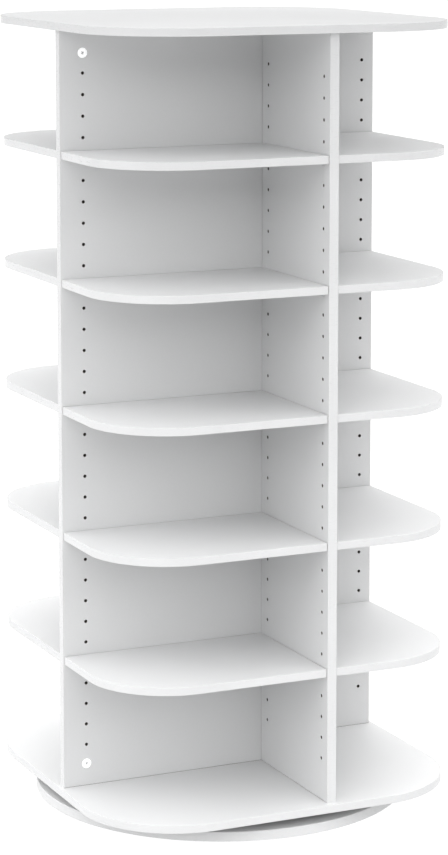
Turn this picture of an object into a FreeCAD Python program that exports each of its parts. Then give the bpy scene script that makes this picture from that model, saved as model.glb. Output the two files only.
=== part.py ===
import FreeCAD, Part
import math
import os

import Sketcher

# Rotating shoe tower.
#
# Four upright panels stand in a pinwheel round a square core, between a bottom
# board and a top board.  Five shelves in each of the four bays rest on pins.  The
# whole tower turns on a ball-bearing plate swivel that is screwed to a round base.
#
# Frame: millimetres, +Z up, origin on the floor under the tower's turning axis.
# Quarter 0 is the panel that runs out along -X and the bay in front of it.
# Quarters 1, 2 and 3 are the same pieces turned 90, 180 and 270 degrees.
QUARTERS = 4

SIZES = (
    # Base
    ("glide_diameter", 32, "plastic glide under the base"),
    ("glide_thickness", 2.5, "height of a glide"),
    ("glide_circle_radius", 262, "axis to the middle of a glide"),
    ("glide_count", 8, "glides under the base"),
    ("disc_radius", 290, "round base board"),
    ("disc_thickness", 15, "round base board"),
    ("disc_edge_round", 1, "rounding of the base board's rim"),
    ("access_diameter", 16, "hole that a screwdriver reaches the upper screws through"),
    # Swivel
    ("swivel_height", 16.5, "from the base board to the bottom board"),
    ("plate_thickness", 2, "pressed sheet of both swivel plates"),
    ("plate_rise", 2.25, "how far a plate's table stands off its flange"),
    ("table_radius", 124, "outside of a plate's table"),
    ("lower_flange_radius", 150, "outside of the lower plate"),
    ("upper_flange_radius", 167, "outside of the upper plate"),
    ("lower_screw_circle_radius", 139, "screws into the base board"),
    ("upper_screw_circle_radius", 158, "screws into the bottom board"),
    ("screw_count", 8, "screws in each plate"),
    ("screw_diameter", 4, "swivel screw's shank"),
    ("screw_length", 11, "swivel screw under its head"),
    ("screw_head_diameter", 8, "swivel screw's pan head"),
    ("screw_head_height", 2.4, "swivel screw's pan head"),
    ("screw_slot_width", 1.2, "arms of the cross in a screw's head"),
    ("screw_slot_length", 4.6, "arms of the cross in a screw's head"),
    ("screw_slot_depth", 1.4, "depth of the cross in a screw's head"),
    ("screw_hole_clearance", 0.5, "plate hole over screw shank, on the diameter"),
    ("race_radius", 100, "circle that the balls run on"),
    ("race_depth", 0.8, "groove in each table"),
    ("race_floor_width", 3.2, "flat bottom of the groove"),
    ("race_mouth_width", 6.4, "top of the groove"),
    ("race_clearance", 0.3, "ball to the floor of each groove"),
    ("ball_count", 24, "balls in the ring"),
    ("cage_thickness", 3, "ring that spaces the balls"),
    ("cage_width", 18, "ring that spaces the balls"),
    ("cage_clearance", 0.3, "ball to its pocket"),
    ("eyelet_radius", 20, "outside of the rivet that holds the plates together"),
    ("eyelet_wall", 2, "wall of the rivet"),
    ("eyelet_lip_radius", 28, "lips of the rivet"),
    ("eyelet_lip_thickness", 1.6, "lips of the rivet"),
    ("eyelet_clearance", 0.3, "rivet to the upper plate"),
    # Bottom board and top board
    ("board_width", 587, "along X"),
    ("board_depth", 598, "along Y"),
    ("board_thickness", 12, "both boards"),
    ("board_corner_radius", 150, "rounded corners of both boards"),
    # Upright panels
    ("panel_height", 1152, "between the boards"),
    ("panel_thickness", 15, "upright panel"),
    ("panel_reach", 288, "axis to a panel's outer edge"),
    ("panel_offset", 51.5, "axis to a panel's middle plane"),
    # Rows of shelf-pin holes
    ("pin_hole_diameter", 5, "shelf-pin hole"),
    ("pin_hole_depth", 10, "shelf-pin hole"),
    ("pin_hole_pitch", 32, "hole to hole"),
    ("pin_hole_end_distance", 64, "top hole to the panel's top end"),
    ("front_row_setback", 37, "outer edge to the row on a panel's front face"),
    ("back_row_setback", 20, "outer edge to the outer row on a panel's back face"),
    ("inner_row_setback", 21, "neighbouring panel's face to the inner row"),
    # Shelves
    ("shelf_tiers", 5, "shelves in each bay"),
    ("shelf_thickness", 12, "shelf"),
    ("shelf_setback", 1.7, "panels' outer edges to the shelf's outer edges"),
    ("shelf_corner_radius", 124, "rounded outer corner of a shelf"),
    ("shelf_gap", 0.3, "shelf to the panel faces beside it"),
    # Shelf pins
    ("pin_seat_rise", 1, "pin's axis to the shelf's underside"),
    ("pin_shank_length", 9.5, "part of a pin that is in the panel"),
    ("pin_tongue_length", 12, "tongue under the shelf"),
    ("pin_tongue_width", 8, "tongue and heel plate"),
    ("pin_tongue_thickness", 2, "tongue under the shelf"),
    ("pin_heel_height", 5, "heel plate against the panel, from the tongue's top"),
    ("pin_heel_thickness", 1.5, "heel plate against the panel"),
    ("edge_pin_length", 18, "hidden pin between panel and shelf"),
    # Cam fittings between panels and boards
    ("cam_diameter", 15, "cam lock"),
    ("cam_length", 12, "cam lock"),
    ("cam_pocket_depth", 12.5, "pocket of a cam lock"),
    ("cam_pocket_clearance", 0.1, "cam lock to its pocket, on the radius"),
    ("cam_end_distance", 34, "cam lock's middle to the panel's end"),
    ("cam_slot_width", 1.5, "arms of the cross in a cam lock"),
    ("cam_slot_length", 5.4, "arms of the cross in a cam lock"),
    ("cam_slot_depth", 1.6, "depth of the cross in a cam lock"),
    ("cam_mouth_width", 7.6, "channel in a cam lock that takes the bolt's head"),
    ("cam_mouth_overrun", 3, "end of that channel past the cam lock's middle"),
    ("bolt_diameter", 6, "cam bolt"),
    ("bolt_thread_length", 9, "part of a cam bolt that is in the board"),
    ("bolt_hole_diameter", 7, "channel in the panel's end"),
    ("bolt_neck_diameter", 4, "cam bolt behind its head"),
    ("bolt_neck_length", 4, "cam bolt behind its head"),
    ("bolt_head_diameter", 7, "cam bolt's head"),
    ("bolt_head_height", 3, "cam bolt's head"),
    ("bolt_head_overrun", 2, "end of the bolt's head past the cam lock's middle"),
    # Wooden dowels
    ("dowel_diameter", 8, "beech dowel"),
    ("dowel_length", 30, "beech dowel"),
    ("dowel_short_end", 9, "part of a dowel that is in the board or panel face"),
    ("dowel_end_gap", 0.5, "room at each end of a dowel's hole"),
    ("outer_dowel_setback", 96, "panel's outer edge to its outer end dowels"),
    ("inner_dowel_setback", 32, "panel's butted edge to its inner end dowels"),
    ("butt_dowel_end_distance", 96, "panel's ends to the dowels of the butt joint"),
)

doc = FreeCAD.newDocument("shoe_tower")
sheet = doc.addObject("Spreadsheet::Sheet", "Sizes")
for row, (alias, number, note) in enumerate(SIZES, start=1):
    sheet.set(f"A{row}", note)
    sheet.set(f"B{row}", str(number))
    sheet.setAlias(f"B{row}", alias)
doc.recompute()

# ---------------------------------------------------------------- shared levels
# Expressions over the sheet.  Heights that end in _Z are above the floor, and
# those in a panel's own pieces are above the panel's bottom end.
DISC_Z = "Sizes.glide_thickness"
SWIVEL_Z = f"({DISC_Z} + Sizes.disc_thickness)"
BOTTOM_BOARD_Z = f"({SWIVEL_Z} + Sizes.swivel_height)"
PANEL_Z = f"({BOTTOM_BOARD_Z} + Sizes.board_thickness)"
TOP_BOARD_Z = f"({PANEL_Z} + Sizes.panel_height)"

# Quarter 0: the panel's faces, its butted end and its rows of holes.
FRONT_FACE = "(Sizes.panel_offset + Sizes.panel_thickness / 2)"
BACK_FACE = "(Sizes.panel_offset - Sizes.panel_thickness / 2)"
BUTT_X = BACK_FACE
FRONT_ROW_X = "(-Sizes.panel_reach + Sizes.front_row_setback)"
BACK_ROW_X = "(-Sizes.panel_reach + Sizes.back_row_setback)"
INNER_ROW_X = f"(-{FRONT_FACE} - Sizes.inner_row_setback)"
OUTER_DOWEL_X = "(-Sizes.panel_reach + Sizes.outer_dowel_setback)"
INNER_DOWEL_X = f"({BUTT_X} - Sizes.inner_dowel_setback)"
EDGE_PIN_RISE = "(Sizes.pin_seat_rise + Sizes.shelf_thickness / 2)"
BUTT_DOWEL_HEIGHTS = (
    "Sizes.butt_dowel_end_distance",
    "Sizes.panel_height / 2",
    "(Sizes.panel_height - Sizes.butt_dowel_end_distance)",
)


def whole_number(alias):
    """A count from the sheet."""
    return int(sheet.get(alias))


def shelf_pin_height(tier):
    """Pin axis of a tier above the panel's bottom end: the hole nearest to an even share."""
    share = f"{tier + 1} * Sizes.panel_height / (Sizes.shelf_tiers + 1)"
    holes_down = f"round(({share} - Sizes.pin_hole_end_distance) / Sizes.pin_hole_pitch)"
    drop = f"(Sizes.pin_hole_end_distance + {holes_down} * Sizes.pin_hole_pitch)"
    return f"(Sizes.panel_height - {drop})"


# ------------------------------------------------------------- building helpers
def new_body(label, quarter=0, lift="0"):
    """One sub-part, turned to its quarter and lifted to its level."""
    body = doc.addObject("PartDesign::Body", label)
    body.AllowCompound = True
    turn = FreeCAD.Rotation(FreeCAD.Vector(0, 0, 1), quarter * 360 / QUARTERS)
    body.Placement = FreeCAD.Placement(FreeCAD.Vector(0, 0, 0), turn)
    body.setExpression(".Placement.Base.z", lift)
    return body


def origin_feature(body, role):
    """A plane or axis of the body's own origin."""
    return next(item for item in body.Origin.OriginFeatures if item.Role == role)


def new_sketch(body, name, plane="XY_Plane", offset="0"):
    """A sketch on an origin plane, moved along the plane's normal."""
    sketch = body.newObject("Sketcher::SketchObject", name)
    sketch.AttachmentSupport = [(origin_feature(body, plane), "")]
    sketch.MapMode = "FlatFace"
    sketch.setExpression(".AttachmentOffset.Base.z", offset)
    return sketch


def dimension(sketch, kind, places, expression):
    """A dimension of the sketch that follows the sheet."""
    number = float(sketch.evalExpression(expression))
    index = sketch.addConstraint(Sketcher.Constraint(kind, *places, number))
    name = f"{kind}{index}"
    sketch.renameConstraint(index, name)
    sketch.setExpression(f"Constraints.{name}", expression)


def locate(sketch, element, point, across, along):
    """Fix a point of an element by its two distances from the sketch's origin."""
    dimension(sketch, "DistanceX", (-1, 1, element, point), across)
    dimension(sketch, "DistanceY", (-1, 1, element, point), along)


def draw_circle(sketch, across, along, diameter):
    """A circle of a given diameter about a given point."""
    circle = Part.Circle(FreeCAD.Vector(0, 0, 0), FreeCAD.Vector(0, 0, 1), 1)
    element = sketch.addGeometry(circle)
    locate(sketch, element, 3, across, along)
    dimension(sketch, "Diameter", (element,), diameter)


def draw_polygon(sketch, corners):
    """A closed outline of straight edges through the given corners."""
    count = len(corners)
    start = [FreeCAD.Rotation(FreeCAD.Vector(0, 0, 1), 360 * i / count) for i in range(count)]
    points = [turn.multVec(FreeCAD.Vector(1, 0, 0)) for turn in start]
    for i in range(count):
        sketch.addGeometry(Part.LineSegment(points[i], points[(i + 1) % count]))
    for i in range(count):
        sketch.addConstraint(Sketcher.Constraint("Coincident", i, 2, (i + 1) % count, 1))
    for i, (across, along) in enumerate(corners):
        locate(sketch, i, 1, across, along)


def draw_cross(sketch, across, along, length, width):
    """Outline of a cross recess about a given point."""
    long, short = f"{length} / 2", f"{width} / 2"
    steps = (
        (f"-{short}", f"-{long}"), (short, f"-{long}"), (short, f"-{short}"),
        (long, f"-{short}"), (long, short), (short, short),
        (short, long), (f"-{short}", long), (f"-{short}", short),
        (f"-{long}", short), (f"-{long}", f"-{short}"), (f"-{short}", f"-{short}"),
    )
    draw_polygon(sketch, [(f"{across} + {dx}", f"{along} + {dy}") for dx, dy in steps])


def pad(body, sketch, length):
    """Raise the sketch along its normal."""
    feature = body.newObject("PartDesign::Pad", f"{sketch.Name}Pad")
    feature.Profile = sketch
    feature.setExpression("Length", length)
    return feature


def pocket(body, sketch, depth, backwards=False):
    """Cut the sketch against its normal, or along it when backwards."""
    feature = body.newObject("PartDesign::Pocket", f"{sketch.Name}Pocket")
    feature.Profile = sketch
    feature.Reversed = backwards
    feature.setExpression("Length", depth)
    return feature


def revolve(body, sketch):
    """Turn a half section about the vertical axis."""
    feature = body.newObject("PartDesign::Revolution", f"{sketch.Name}Revolution")
    feature.Profile = sketch
    feature.ReferenceAxis = (origin_feature(body, "Z_Axis"), [""])
    feature.Angle = 360
    return feature


def ring_pattern(body, original, count):
    """Repeat a feature round the vertical axis."""
    pattern = body.newObject("PartDesign::PolarPattern", f"{original.Name}Ring")
    pattern.Originals = [original]
    pattern.Axis = (origin_feature(body, "Z_Axis"), [""])
    pattern.Angle = 360
    pattern.setExpression("Occurrences", count)
    body.Tip = pattern


def every_quarter(body, original):
    """Repeat a feature in the other three quarters."""
    ring_pattern(body, original, str(QUARTERS))


def solid(body, kind, name, plane, corner, **sizes):
    """A PartDesign primitive placed from an origin plane."""
    feature = body.newObject(f"PartDesign::{kind}", name)
    feature.AttachmentSupport = [(origin_feature(body, plane), "")]
    feature.MapMode = "FlatFace"
    for axis, expression in zip("xyz", corner):
        feature.setExpression(f".AttachmentOffset.Base.{axis}", expression)
    for size, expression in sizes.items():
        feature.setExpression(size, expression)
    return feature


# ------------------------------------------------------------------------- base
def make_base_glides():
    """Plastic glides pressed on under the base board."""
    body = new_body("base_glides")
    glide = solid(body, "AdditiveCylinder", "Glide", "XY_Plane",
                  ("Sizes.glide_circle_radius", "0", "0"),
                  Radius="Sizes.glide_diameter / 2", Height="Sizes.glide_thickness")
    ring_pattern(body, glide, "Sizes.glide_count")
    return body


def make_base_disc():
    """Round board that stands on the floor and carries the swivel."""
    body = new_body("base_disc", lift=DISC_Z)
    outline = new_sketch(body, "DiscOutline")
    draw_circle(outline, "0", "0", "2 * Sizes.disc_radius")
    board = pad(body, outline, "Sizes.disc_thickness")
    doc.recompute()
    rim = body.newObject("PartDesign::Fillet", "DiscRim")
    rim.Base = (board, round_edges(board))
    rim.setExpression("Radius", "Sizes.disc_edge_round")
    access = new_sketch(body, "ScrewdriverHole")
    draw_circle(access, "Sizes.upper_screw_circle_radius", "0", "Sizes.access_diameter")
    pocket(body, access, "Sizes.disc_thickness", backwards=True)
    pilots = new_sketch(body, "DiscPilot", offset="Sizes.disc_thickness")
    draw_circle(pilots, "Sizes.lower_screw_circle_radius", "0", "Sizes.screw_diameter")
    pilot = pocket(body, pilots, "Sizes.screw_length - Sizes.plate_thickness")
    ring_pattern(body, pilot, "Sizes.screw_count")
    return body


def round_edges(feature):
    """Names of the full-circle edges of a feature."""
    edges = enumerate(feature.Shape.Edges, start=1)
    return [f"Edge{i}" for i, edge in edges if isinstance(edge.Curve, Part.Circle)]


# ----------------------------------------------------------------------- swivel
TABLE_TOP = "(Sizes.plate_rise + Sizes.plate_thickness)"
RACE_FLOOR = f"({TABLE_TOP} - Sizes.race_depth)"
BALL_RADIUS = f"(Sizes.swivel_height / 2 - {RACE_FLOOR} - Sizes.race_clearance)"


def make_swivel_plate(label, flange_radius, hole_radius, screw_circle, upside_down):
    """Pressed ring with a raised table, a groove for the balls and a screw flange."""
    body = new_body(label, lift=SWIVEL_Z)
    if upside_down:
        body.Placement.Rotation = FreeCAD.Rotation(FreeCAD.Vector(1, 0, 0), 180)
        body.setExpression(".Placement.Base.z", BOTTOM_BOARD_Z)
    section = new_sketch(body, "PlateSection", "XZ_Plane")
    wall_inside = "(Sizes.table_radius - Sizes.plate_thickness)"
    draw_polygon(section, (
        (hole_radius, "Sizes.plate_rise"),
        (wall_inside, "Sizes.plate_rise"),
        (wall_inside, "0"),
        (flange_radius, "0"),
        (flange_radius, "Sizes.plate_thickness"),
        ("Sizes.table_radius", "Sizes.plate_thickness"),
        ("Sizes.table_radius", TABLE_TOP),
        ("Sizes.race_radius + Sizes.race_mouth_width / 2", TABLE_TOP),
        ("Sizes.race_radius + Sizes.race_floor_width / 2", RACE_FLOOR),
        ("Sizes.race_radius - Sizes.race_floor_width / 2", RACE_FLOOR),
        ("Sizes.race_radius - Sizes.race_mouth_width / 2", TABLE_TOP),
        (hole_radius, TABLE_TOP),
    ))
    revolve(body, section)
    holes = new_sketch(body, "PlateHole", offset="Sizes.plate_thickness")
    draw_circle(holes, screw_circle, "0", "Sizes.screw_diameter + Sizes.screw_hole_clearance")
    hole = pocket(body, holes, "Sizes.plate_thickness")
    ring_pattern(body, hole, "Sizes.screw_count")
    return body


def make_swivel_screws(label, screw_circle, upside_down):
    """Pan-head screws through a swivel plate's flange, with a cross in each head."""
    body = new_body(label, lift=SWIVEL_Z)
    if upside_down:
        body.Placement.Rotation = FreeCAD.Rotation(FreeCAD.Vector(1, 0, 0), 180)
        body.setExpression(".Placement.Base.z", BOTTOM_BOARD_Z)
    shank = solid(body, "AdditiveCylinder", "Shank", "XY_Plane",
                  (screw_circle, "0", "Sizes.plate_thickness - Sizes.screw_length"),
                  Radius="Sizes.screw_diameter / 2", Height="Sizes.screw_length")
    ring_pattern(body, shank, "Sizes.screw_count")
    head = solid(body, "AdditiveCylinder", "Head", "XY_Plane",
                 (screw_circle, "0", "Sizes.plate_thickness"),
                 Radius="Sizes.screw_head_diameter / 2", Height="Sizes.screw_head_height")
    ring_pattern(body, head, "Sizes.screw_count")
    head_top = "Sizes.plate_thickness + Sizes.screw_head_height"
    recess = new_sketch(body, "Cross", offset=head_top)
    draw_cross(recess, screw_circle, "0", "Sizes.screw_slot_length", "Sizes.screw_slot_width")
    ring_pattern(body, pocket(body, recess, "Sizes.screw_slot_depth"), "Sizes.screw_count")
    return body


def make_swivel_eyelet():
    """Tubular rivet, closed on the lower plate and free of the upper one."""
    body = new_body("swivel_eyelet", lift=SWIVEL_Z)
    bore = "(Sizes.eyelet_radius - Sizes.eyelet_wall)"
    upper_lip = "(Sizes.swivel_height - Sizes.plate_rise + Sizes.eyelet_clearance)"
    section = new_sketch(body, "EyeletSection", "XZ_Plane")
    draw_polygon(section, (
        (bore, "Sizes.plate_rise - Sizes.eyelet_lip_thickness"),
        ("Sizes.eyelet_lip_radius", "Sizes.plate_rise - Sizes.eyelet_lip_thickness"),
        ("Sizes.eyelet_lip_radius", "Sizes.plate_rise"),
        ("Sizes.eyelet_radius", "Sizes.plate_rise"),
        ("Sizes.eyelet_radius", upper_lip),
        ("Sizes.eyelet_lip_radius", upper_lip),
        ("Sizes.eyelet_lip_radius", f"{upper_lip} + Sizes.eyelet_lip_thickness"),
        (bore, f"{upper_lip} + Sizes.eyelet_lip_thickness"),
    ))
    revolve(body, section)
    return body


def make_bearing_balls():
    """Ring of steel balls between the two grooves."""
    body = new_body("bearing_balls", lift=SWIVEL_Z)
    ball = solid(body, "AdditiveSphere", "Ball", "XY_Plane",
                 ("Sizes.race_radius", "0", "Sizes.swivel_height / 2"), Radius=BALL_RADIUS)
    ring_pattern(body, ball, "Sizes.ball_count")
    return body


def make_ball_cage():
    """Plastic ring that keeps the balls evenly spaced."""
    body = new_body("ball_cage", lift=SWIVEL_Z)
    bottom = "Sizes.swivel_height / 2 - Sizes.cage_thickness / 2"
    outline = new_sketch(body, "CageOutline", offset=bottom)
    draw_circle(outline, "0", "0", "2 * Sizes.race_radius + Sizes.cage_width")
    draw_circle(outline, "0", "0", "2 * Sizes.race_radius - Sizes.cage_width")
    pad(body, outline, "Sizes.cage_thickness")
    window = new_sketch(body, "BallPocket", offset=bottom)
    draw_circle(window, "Sizes.race_radius", "0", f"2 * ({BALL_RADIUS} + Sizes.cage_clearance)")
    cut = pocket(body, window, "Sizes.cage_thickness", backwards=True)
    ring_pattern(body, cut, "Sizes.ball_count")
    return body


# ------------------------------------------------------- bottom board, top board
def draw_rounded_rectangle(sketch, width, depth, radius):
    """A rectangle about the sketch's origin with four equal round corners."""
    half_width = sheet.get(width) / 2
    half_depth = sheet.get(depth) / 2
    corner = sheet.get(radius)
    up = FreeCAD.Vector(0, 0, 1)
    for turn in range(QUARTERS):
        rotation = FreeCAD.Rotation(up, turn * 360 / QUARTERS)
        side, ahead = (half_depth, half_width) if turn % 2 == 0 else (half_width, half_depth)
        edge_start = rotation.multVec(FreeCAD.Vector(-ahead + corner, -side, 0))
        edge_end = rotation.multVec(FreeCAD.Vector(ahead - corner, -side, 0))
        centre = rotation.multVec(FreeCAD.Vector(ahead - corner, -side + corner, 0))
        arc_start = (turn - 1) * math.pi / 2
        arc = Part.ArcOfCircle(Part.Circle(centre, up, corner), arc_start, arc_start + math.pi / 2)
        sketch.addGeometry(Part.LineSegment(edge_start, edge_end))
        sketch.addGeometry(arc)
    for line in range(0, 2 * QUARTERS, 2):
        arc, next_line = line + 1, (line + 2) % (2 * QUARTERS)
        sketch.addConstraint(Sketcher.Constraint("Tangent", line, 2, arc, 1))
        sketch.addConstraint(Sketcher.Constraint("Tangent", arc, 2, next_line, 1))
    for arc in (3, 5, 7):
        sketch.addConstraint(Sketcher.Constraint("Equal", 1, arc))
    sketch.addConstraint(Sketcher.Constraint("Horizontal", 4))
    sketch.addConstraint(Sketcher.Constraint("Vertical", 6))
    sketch.addConstraint(Sketcher.Constraint("Symmetric", 0, 1, 0, 2, -2))
    sketch.addConstraint(Sketcher.Constraint("Symmetric", 2, 1, 2, 2, -1))
    dimension(sketch, "Radius", (1,), f"Sizes.{radius}")
    dimension(sketch, "DistanceX", (6, 1, 2, 1), f"Sizes.{width}")
    dimension(sketch, "DistanceY", (0, 1, 4, 1), f"Sizes.{depth}")


def make_board(label, lift, joint_face, joints_face_up):
    """Rounded board, drilled on one face for the panels' cam bolts and dowels."""
    body = new_body(label, lift=lift)
    outline = new_sketch(body, "BoardOutline")
    draw_rounded_rectangle(outline, "board_width", "board_depth", "board_corner_radius")
    pad(body, outline, "Sizes.board_thickness")
    bolts = new_sketch(body, "BoltHole", offset=joint_face)
    draw_circle(bolts, FRONT_ROW_X, "-Sizes.panel_offset", "Sizes.bolt_diameter")
    hole = pocket(body, bolts, "Sizes.bolt_thread_length", backwards=not joints_face_up)
    every_quarter(body, hole)
    dowels = new_sketch(body, "DowelHole", offset=joint_face)
    for across in (OUTER_DOWEL_X, INNER_DOWEL_X):
        draw_circle(dowels, across, "-Sizes.panel_offset", "Sizes.dowel_diameter")
    hole = pocket(body, dowels, "Sizes.dowel_short_end + Sizes.dowel_end_gap",
                  backwards=not joints_face_up)
    every_quarter(body, hole)
    return body


def make_bottom_board():
    """Board that the panels stand on, with the swivel screwed to its underside."""
    body = make_board("bottom_board", BOTTOM_BOARD_Z, "Sizes.board_thickness", True)
    pilots = new_sketch(body, "BoardPilot")
    draw_circle(pilots, "Sizes.upper_screw_circle_radius", "0", "Sizes.screw_diameter")
    pilot = pocket(body, pilots, "Sizes.screw_length - Sizes.plate_thickness", backwards=True)
    ring_pattern(body, pilot, "Sizes.screw_count")
    return body


def make_top_board():
    """Board that closes the tower."""
    return make_board("top_board", TOP_BOARD_Z, "0", False)


# ---------------------------------------------------------------- upright panels
def drill_row(body, name, face, backwards, across, rise):
    """A row of shelf-pin holes down one face, spaced from the panel's top end."""
    sketch = new_sketch(body, name, "XZ_Plane", face)
    top_hole = f"Sizes.panel_height - Sizes.pin_hole_end_distance + {rise}"
    draw_circle(sketch, across, top_hole, "Sizes.pin_hole_diameter")
    hole = pocket(body, sketch, "Sizes.pin_hole_depth", backwards)
    row = body.newObject("PartDesign::LinearPattern", f"{name}Row")
    row.Originals = [hole]
    row.Direction = (sketch, ["V_Axis"])
    row.Reversed = True
    drilled = "(Sizes.panel_height - 2 * Sizes.pin_hole_end_distance)"
    steps = f"floor({drilled} / Sizes.pin_hole_pitch)"
    row.setExpression("Length", f"{steps} * Sizes.pin_hole_pitch")
    row.setExpression("Occurrences", f"{steps} + 1")
    body.Tip = row


def make_panel(quarter, label):
    """Upright panel, butted against its neighbour's face, with all its drilling."""
    body = new_body(label, quarter, PANEL_Z)
    outline = new_sketch(body, "PanelOutline")
    draw_polygon(outline, (
        ("-Sizes.panel_reach", f"-{FRONT_FACE}"),
        (BUTT_X, f"-{FRONT_FACE}"),
        (BUTT_X, f"-{BACK_FACE}"),
        ("-Sizes.panel_reach", f"-{BACK_FACE}"),
    ))
    pad(body, outline, "Sizes.panel_height")

    cams = new_sketch(body, "CamPocket", "XZ_Plane", FRONT_FACE)
    pocket_diameter = "Sizes.cam_diameter + 2 * Sizes.cam_pocket_clearance"
    draw_circle(cams, FRONT_ROW_X, "Sizes.cam_end_distance", pocket_diameter)
    draw_circle(cams, FRONT_ROW_X, "Sizes.panel_height - Sizes.cam_end_distance", pocket_diameter)
    pocket(body, cams, "Sizes.cam_pocket_depth")

    dowel_depth = "Sizes.dowel_length - Sizes.dowel_short_end + Sizes.dowel_end_gap"
    for end, level, upwards in (("Lower", "0", True), ("Upper", "Sizes.panel_height", False)):
        bolt = new_sketch(body, f"{end}BoltChannel", offset=level)
        draw_circle(bolt, FRONT_ROW_X, "-Sizes.panel_offset", "Sizes.bolt_hole_diameter")
        pocket(body, bolt, "Sizes.cam_end_distance", backwards=upwards)
        dowels = new_sketch(body, f"{end}DowelHole", offset=level)
        for across in (OUTER_DOWEL_X, INNER_DOWEL_X):
            draw_circle(dowels, across, "-Sizes.panel_offset", "Sizes.dowel_diameter")
        pocket(body, dowels, dowel_depth, backwards=upwards)

    butt_end = new_sketch(body, "ButtEndHole", "YZ_Plane", BUTT_X)
    butt_face = new_sketch(body, "ButtFaceHole", "XZ_Plane", BACK_FACE)
    for height in BUTT_DOWEL_HEIGHTS:
        draw_circle(butt_end, "-Sizes.panel_offset", height, "Sizes.dowel_diameter")
        draw_circle(butt_face, "-Sizes.panel_offset", height, "Sizes.dowel_diameter")
    pocket(body, butt_end, dowel_depth)
    pocket(body, butt_face, "Sizes.dowel_short_end + Sizes.dowel_end_gap", backwards=True)

    drill_row(body, "FrontHole", FRONT_FACE, False, FRONT_ROW_X, "0")
    drill_row(body, "BackHole", BACK_FACE, True, BACK_ROW_X, "0")
    drill_row(body, "InnerHole", BACK_FACE, True, INNER_ROW_X, EDGE_PIN_RISE)
    return body


# ---------------------------------------------------------------------- shelves
EDGE_PIN_Y = f"(-{FRONT_FACE} - Sizes.inner_row_setback)"
BACK_ROW_Y = BACK_ROW_X
SHELF_REACH = "(Sizes.panel_reach - Sizes.shelf_setback)"
SHELF_SIDE_X = f"({BACK_FACE} - Sizes.shelf_gap)"
SHELF_BACK_Y = f"({FRONT_FACE} + Sizes.shelf_gap)"


def draw_shelf_outline(sketch):
    """Rectangle in the corner of two panels, with its outer corner rounded."""
    reach = sheet.get("panel_reach") - sheet.get("shelf_setback")
    panel_and_gap = sheet.get("panel_thickness") / 2 + sheet.get("shelf_gap")
    inner_x = sheet.get("panel_offset") - panel_and_gap
    inner_y = sheet.get("panel_offset") + panel_and_gap
    radius = sheet.get("shelf_corner_radius")
    inner_front = FreeCAD.Vector(inner_x, -reach, 0)
    inner_back = FreeCAD.Vector(inner_x, -inner_y, 0)
    outer_back = FreeCAD.Vector(-reach, -inner_y, 0)
    arc_start = FreeCAD.Vector(-reach, -reach + radius, 0)
    arc_end = FreeCAD.Vector(-reach + radius, -reach, 0)
    arc_centre = FreeCAD.Vector(-reach + radius, -reach + radius, 0)
    round_corner = Part.Circle(arc_centre, FreeCAD.Vector(0, 0, 1), radius)
    sketch.addGeometry(Part.LineSegment(outer_back, arc_start))
    sketch.addGeometry(Part.ArcOfCircle(round_corner, math.pi, 3 * math.pi / 2))
    sketch.addGeometry(Part.LineSegment(arc_end, inner_front))
    sketch.addGeometry(Part.LineSegment(inner_front, inner_back))
    sketch.addGeometry(Part.LineSegment(inner_back, outer_back))
    outer, corner, front, side, back = range(5)
    for line, next_line in ((front, side), (side, back), (back, outer)):
        sketch.addConstraint(Sketcher.Constraint("Coincident", line, 2, next_line, 1))
    sketch.addConstraint(Sketcher.Constraint("Tangent", outer, 2, corner, 1))
    sketch.addConstraint(Sketcher.Constraint("Tangent", corner, 2, front, 1))
    for line in (front, back):
        sketch.addConstraint(Sketcher.Constraint("Horizontal", line))
    for line in (side, outer):
        sketch.addConstraint(Sketcher.Constraint("Vertical", line))
    dimension(sketch, "Radius", (corner,), "Sizes.shelf_corner_radius")
    locate(sketch, side, 1, SHELF_SIDE_X, f"-{SHELF_REACH}")
    locate(sketch, outer, 1, f"-{SHELF_REACH}", f"-{SHELF_BACK_Y}")


def make_shelf(tier, quarter):
    """Shelf of one bay, drilled in its edge for the hidden pin."""
    underside = f"({PANEL_Z} + {shelf_pin_height(tier)} + Sizes.pin_seat_rise)"
    body = new_body(f"shelf_{tier + 1}_bay_{quarter + 1}", quarter, underside)
    outline = new_sketch(body, "ShelfOutline")
    draw_shelf_outline(outline)
    pad(body, outline, "Sizes.shelf_thickness")
    edge = new_sketch(body, "EdgePinHole", "YZ_Plane", SHELF_SIDE_X)
    draw_circle(edge, EDGE_PIN_Y, "Sizes.shelf_thickness / 2", "Sizes.pin_hole_diameter")
    pocket(body, edge, "Sizes.pin_hole_depth")
    return body


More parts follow.
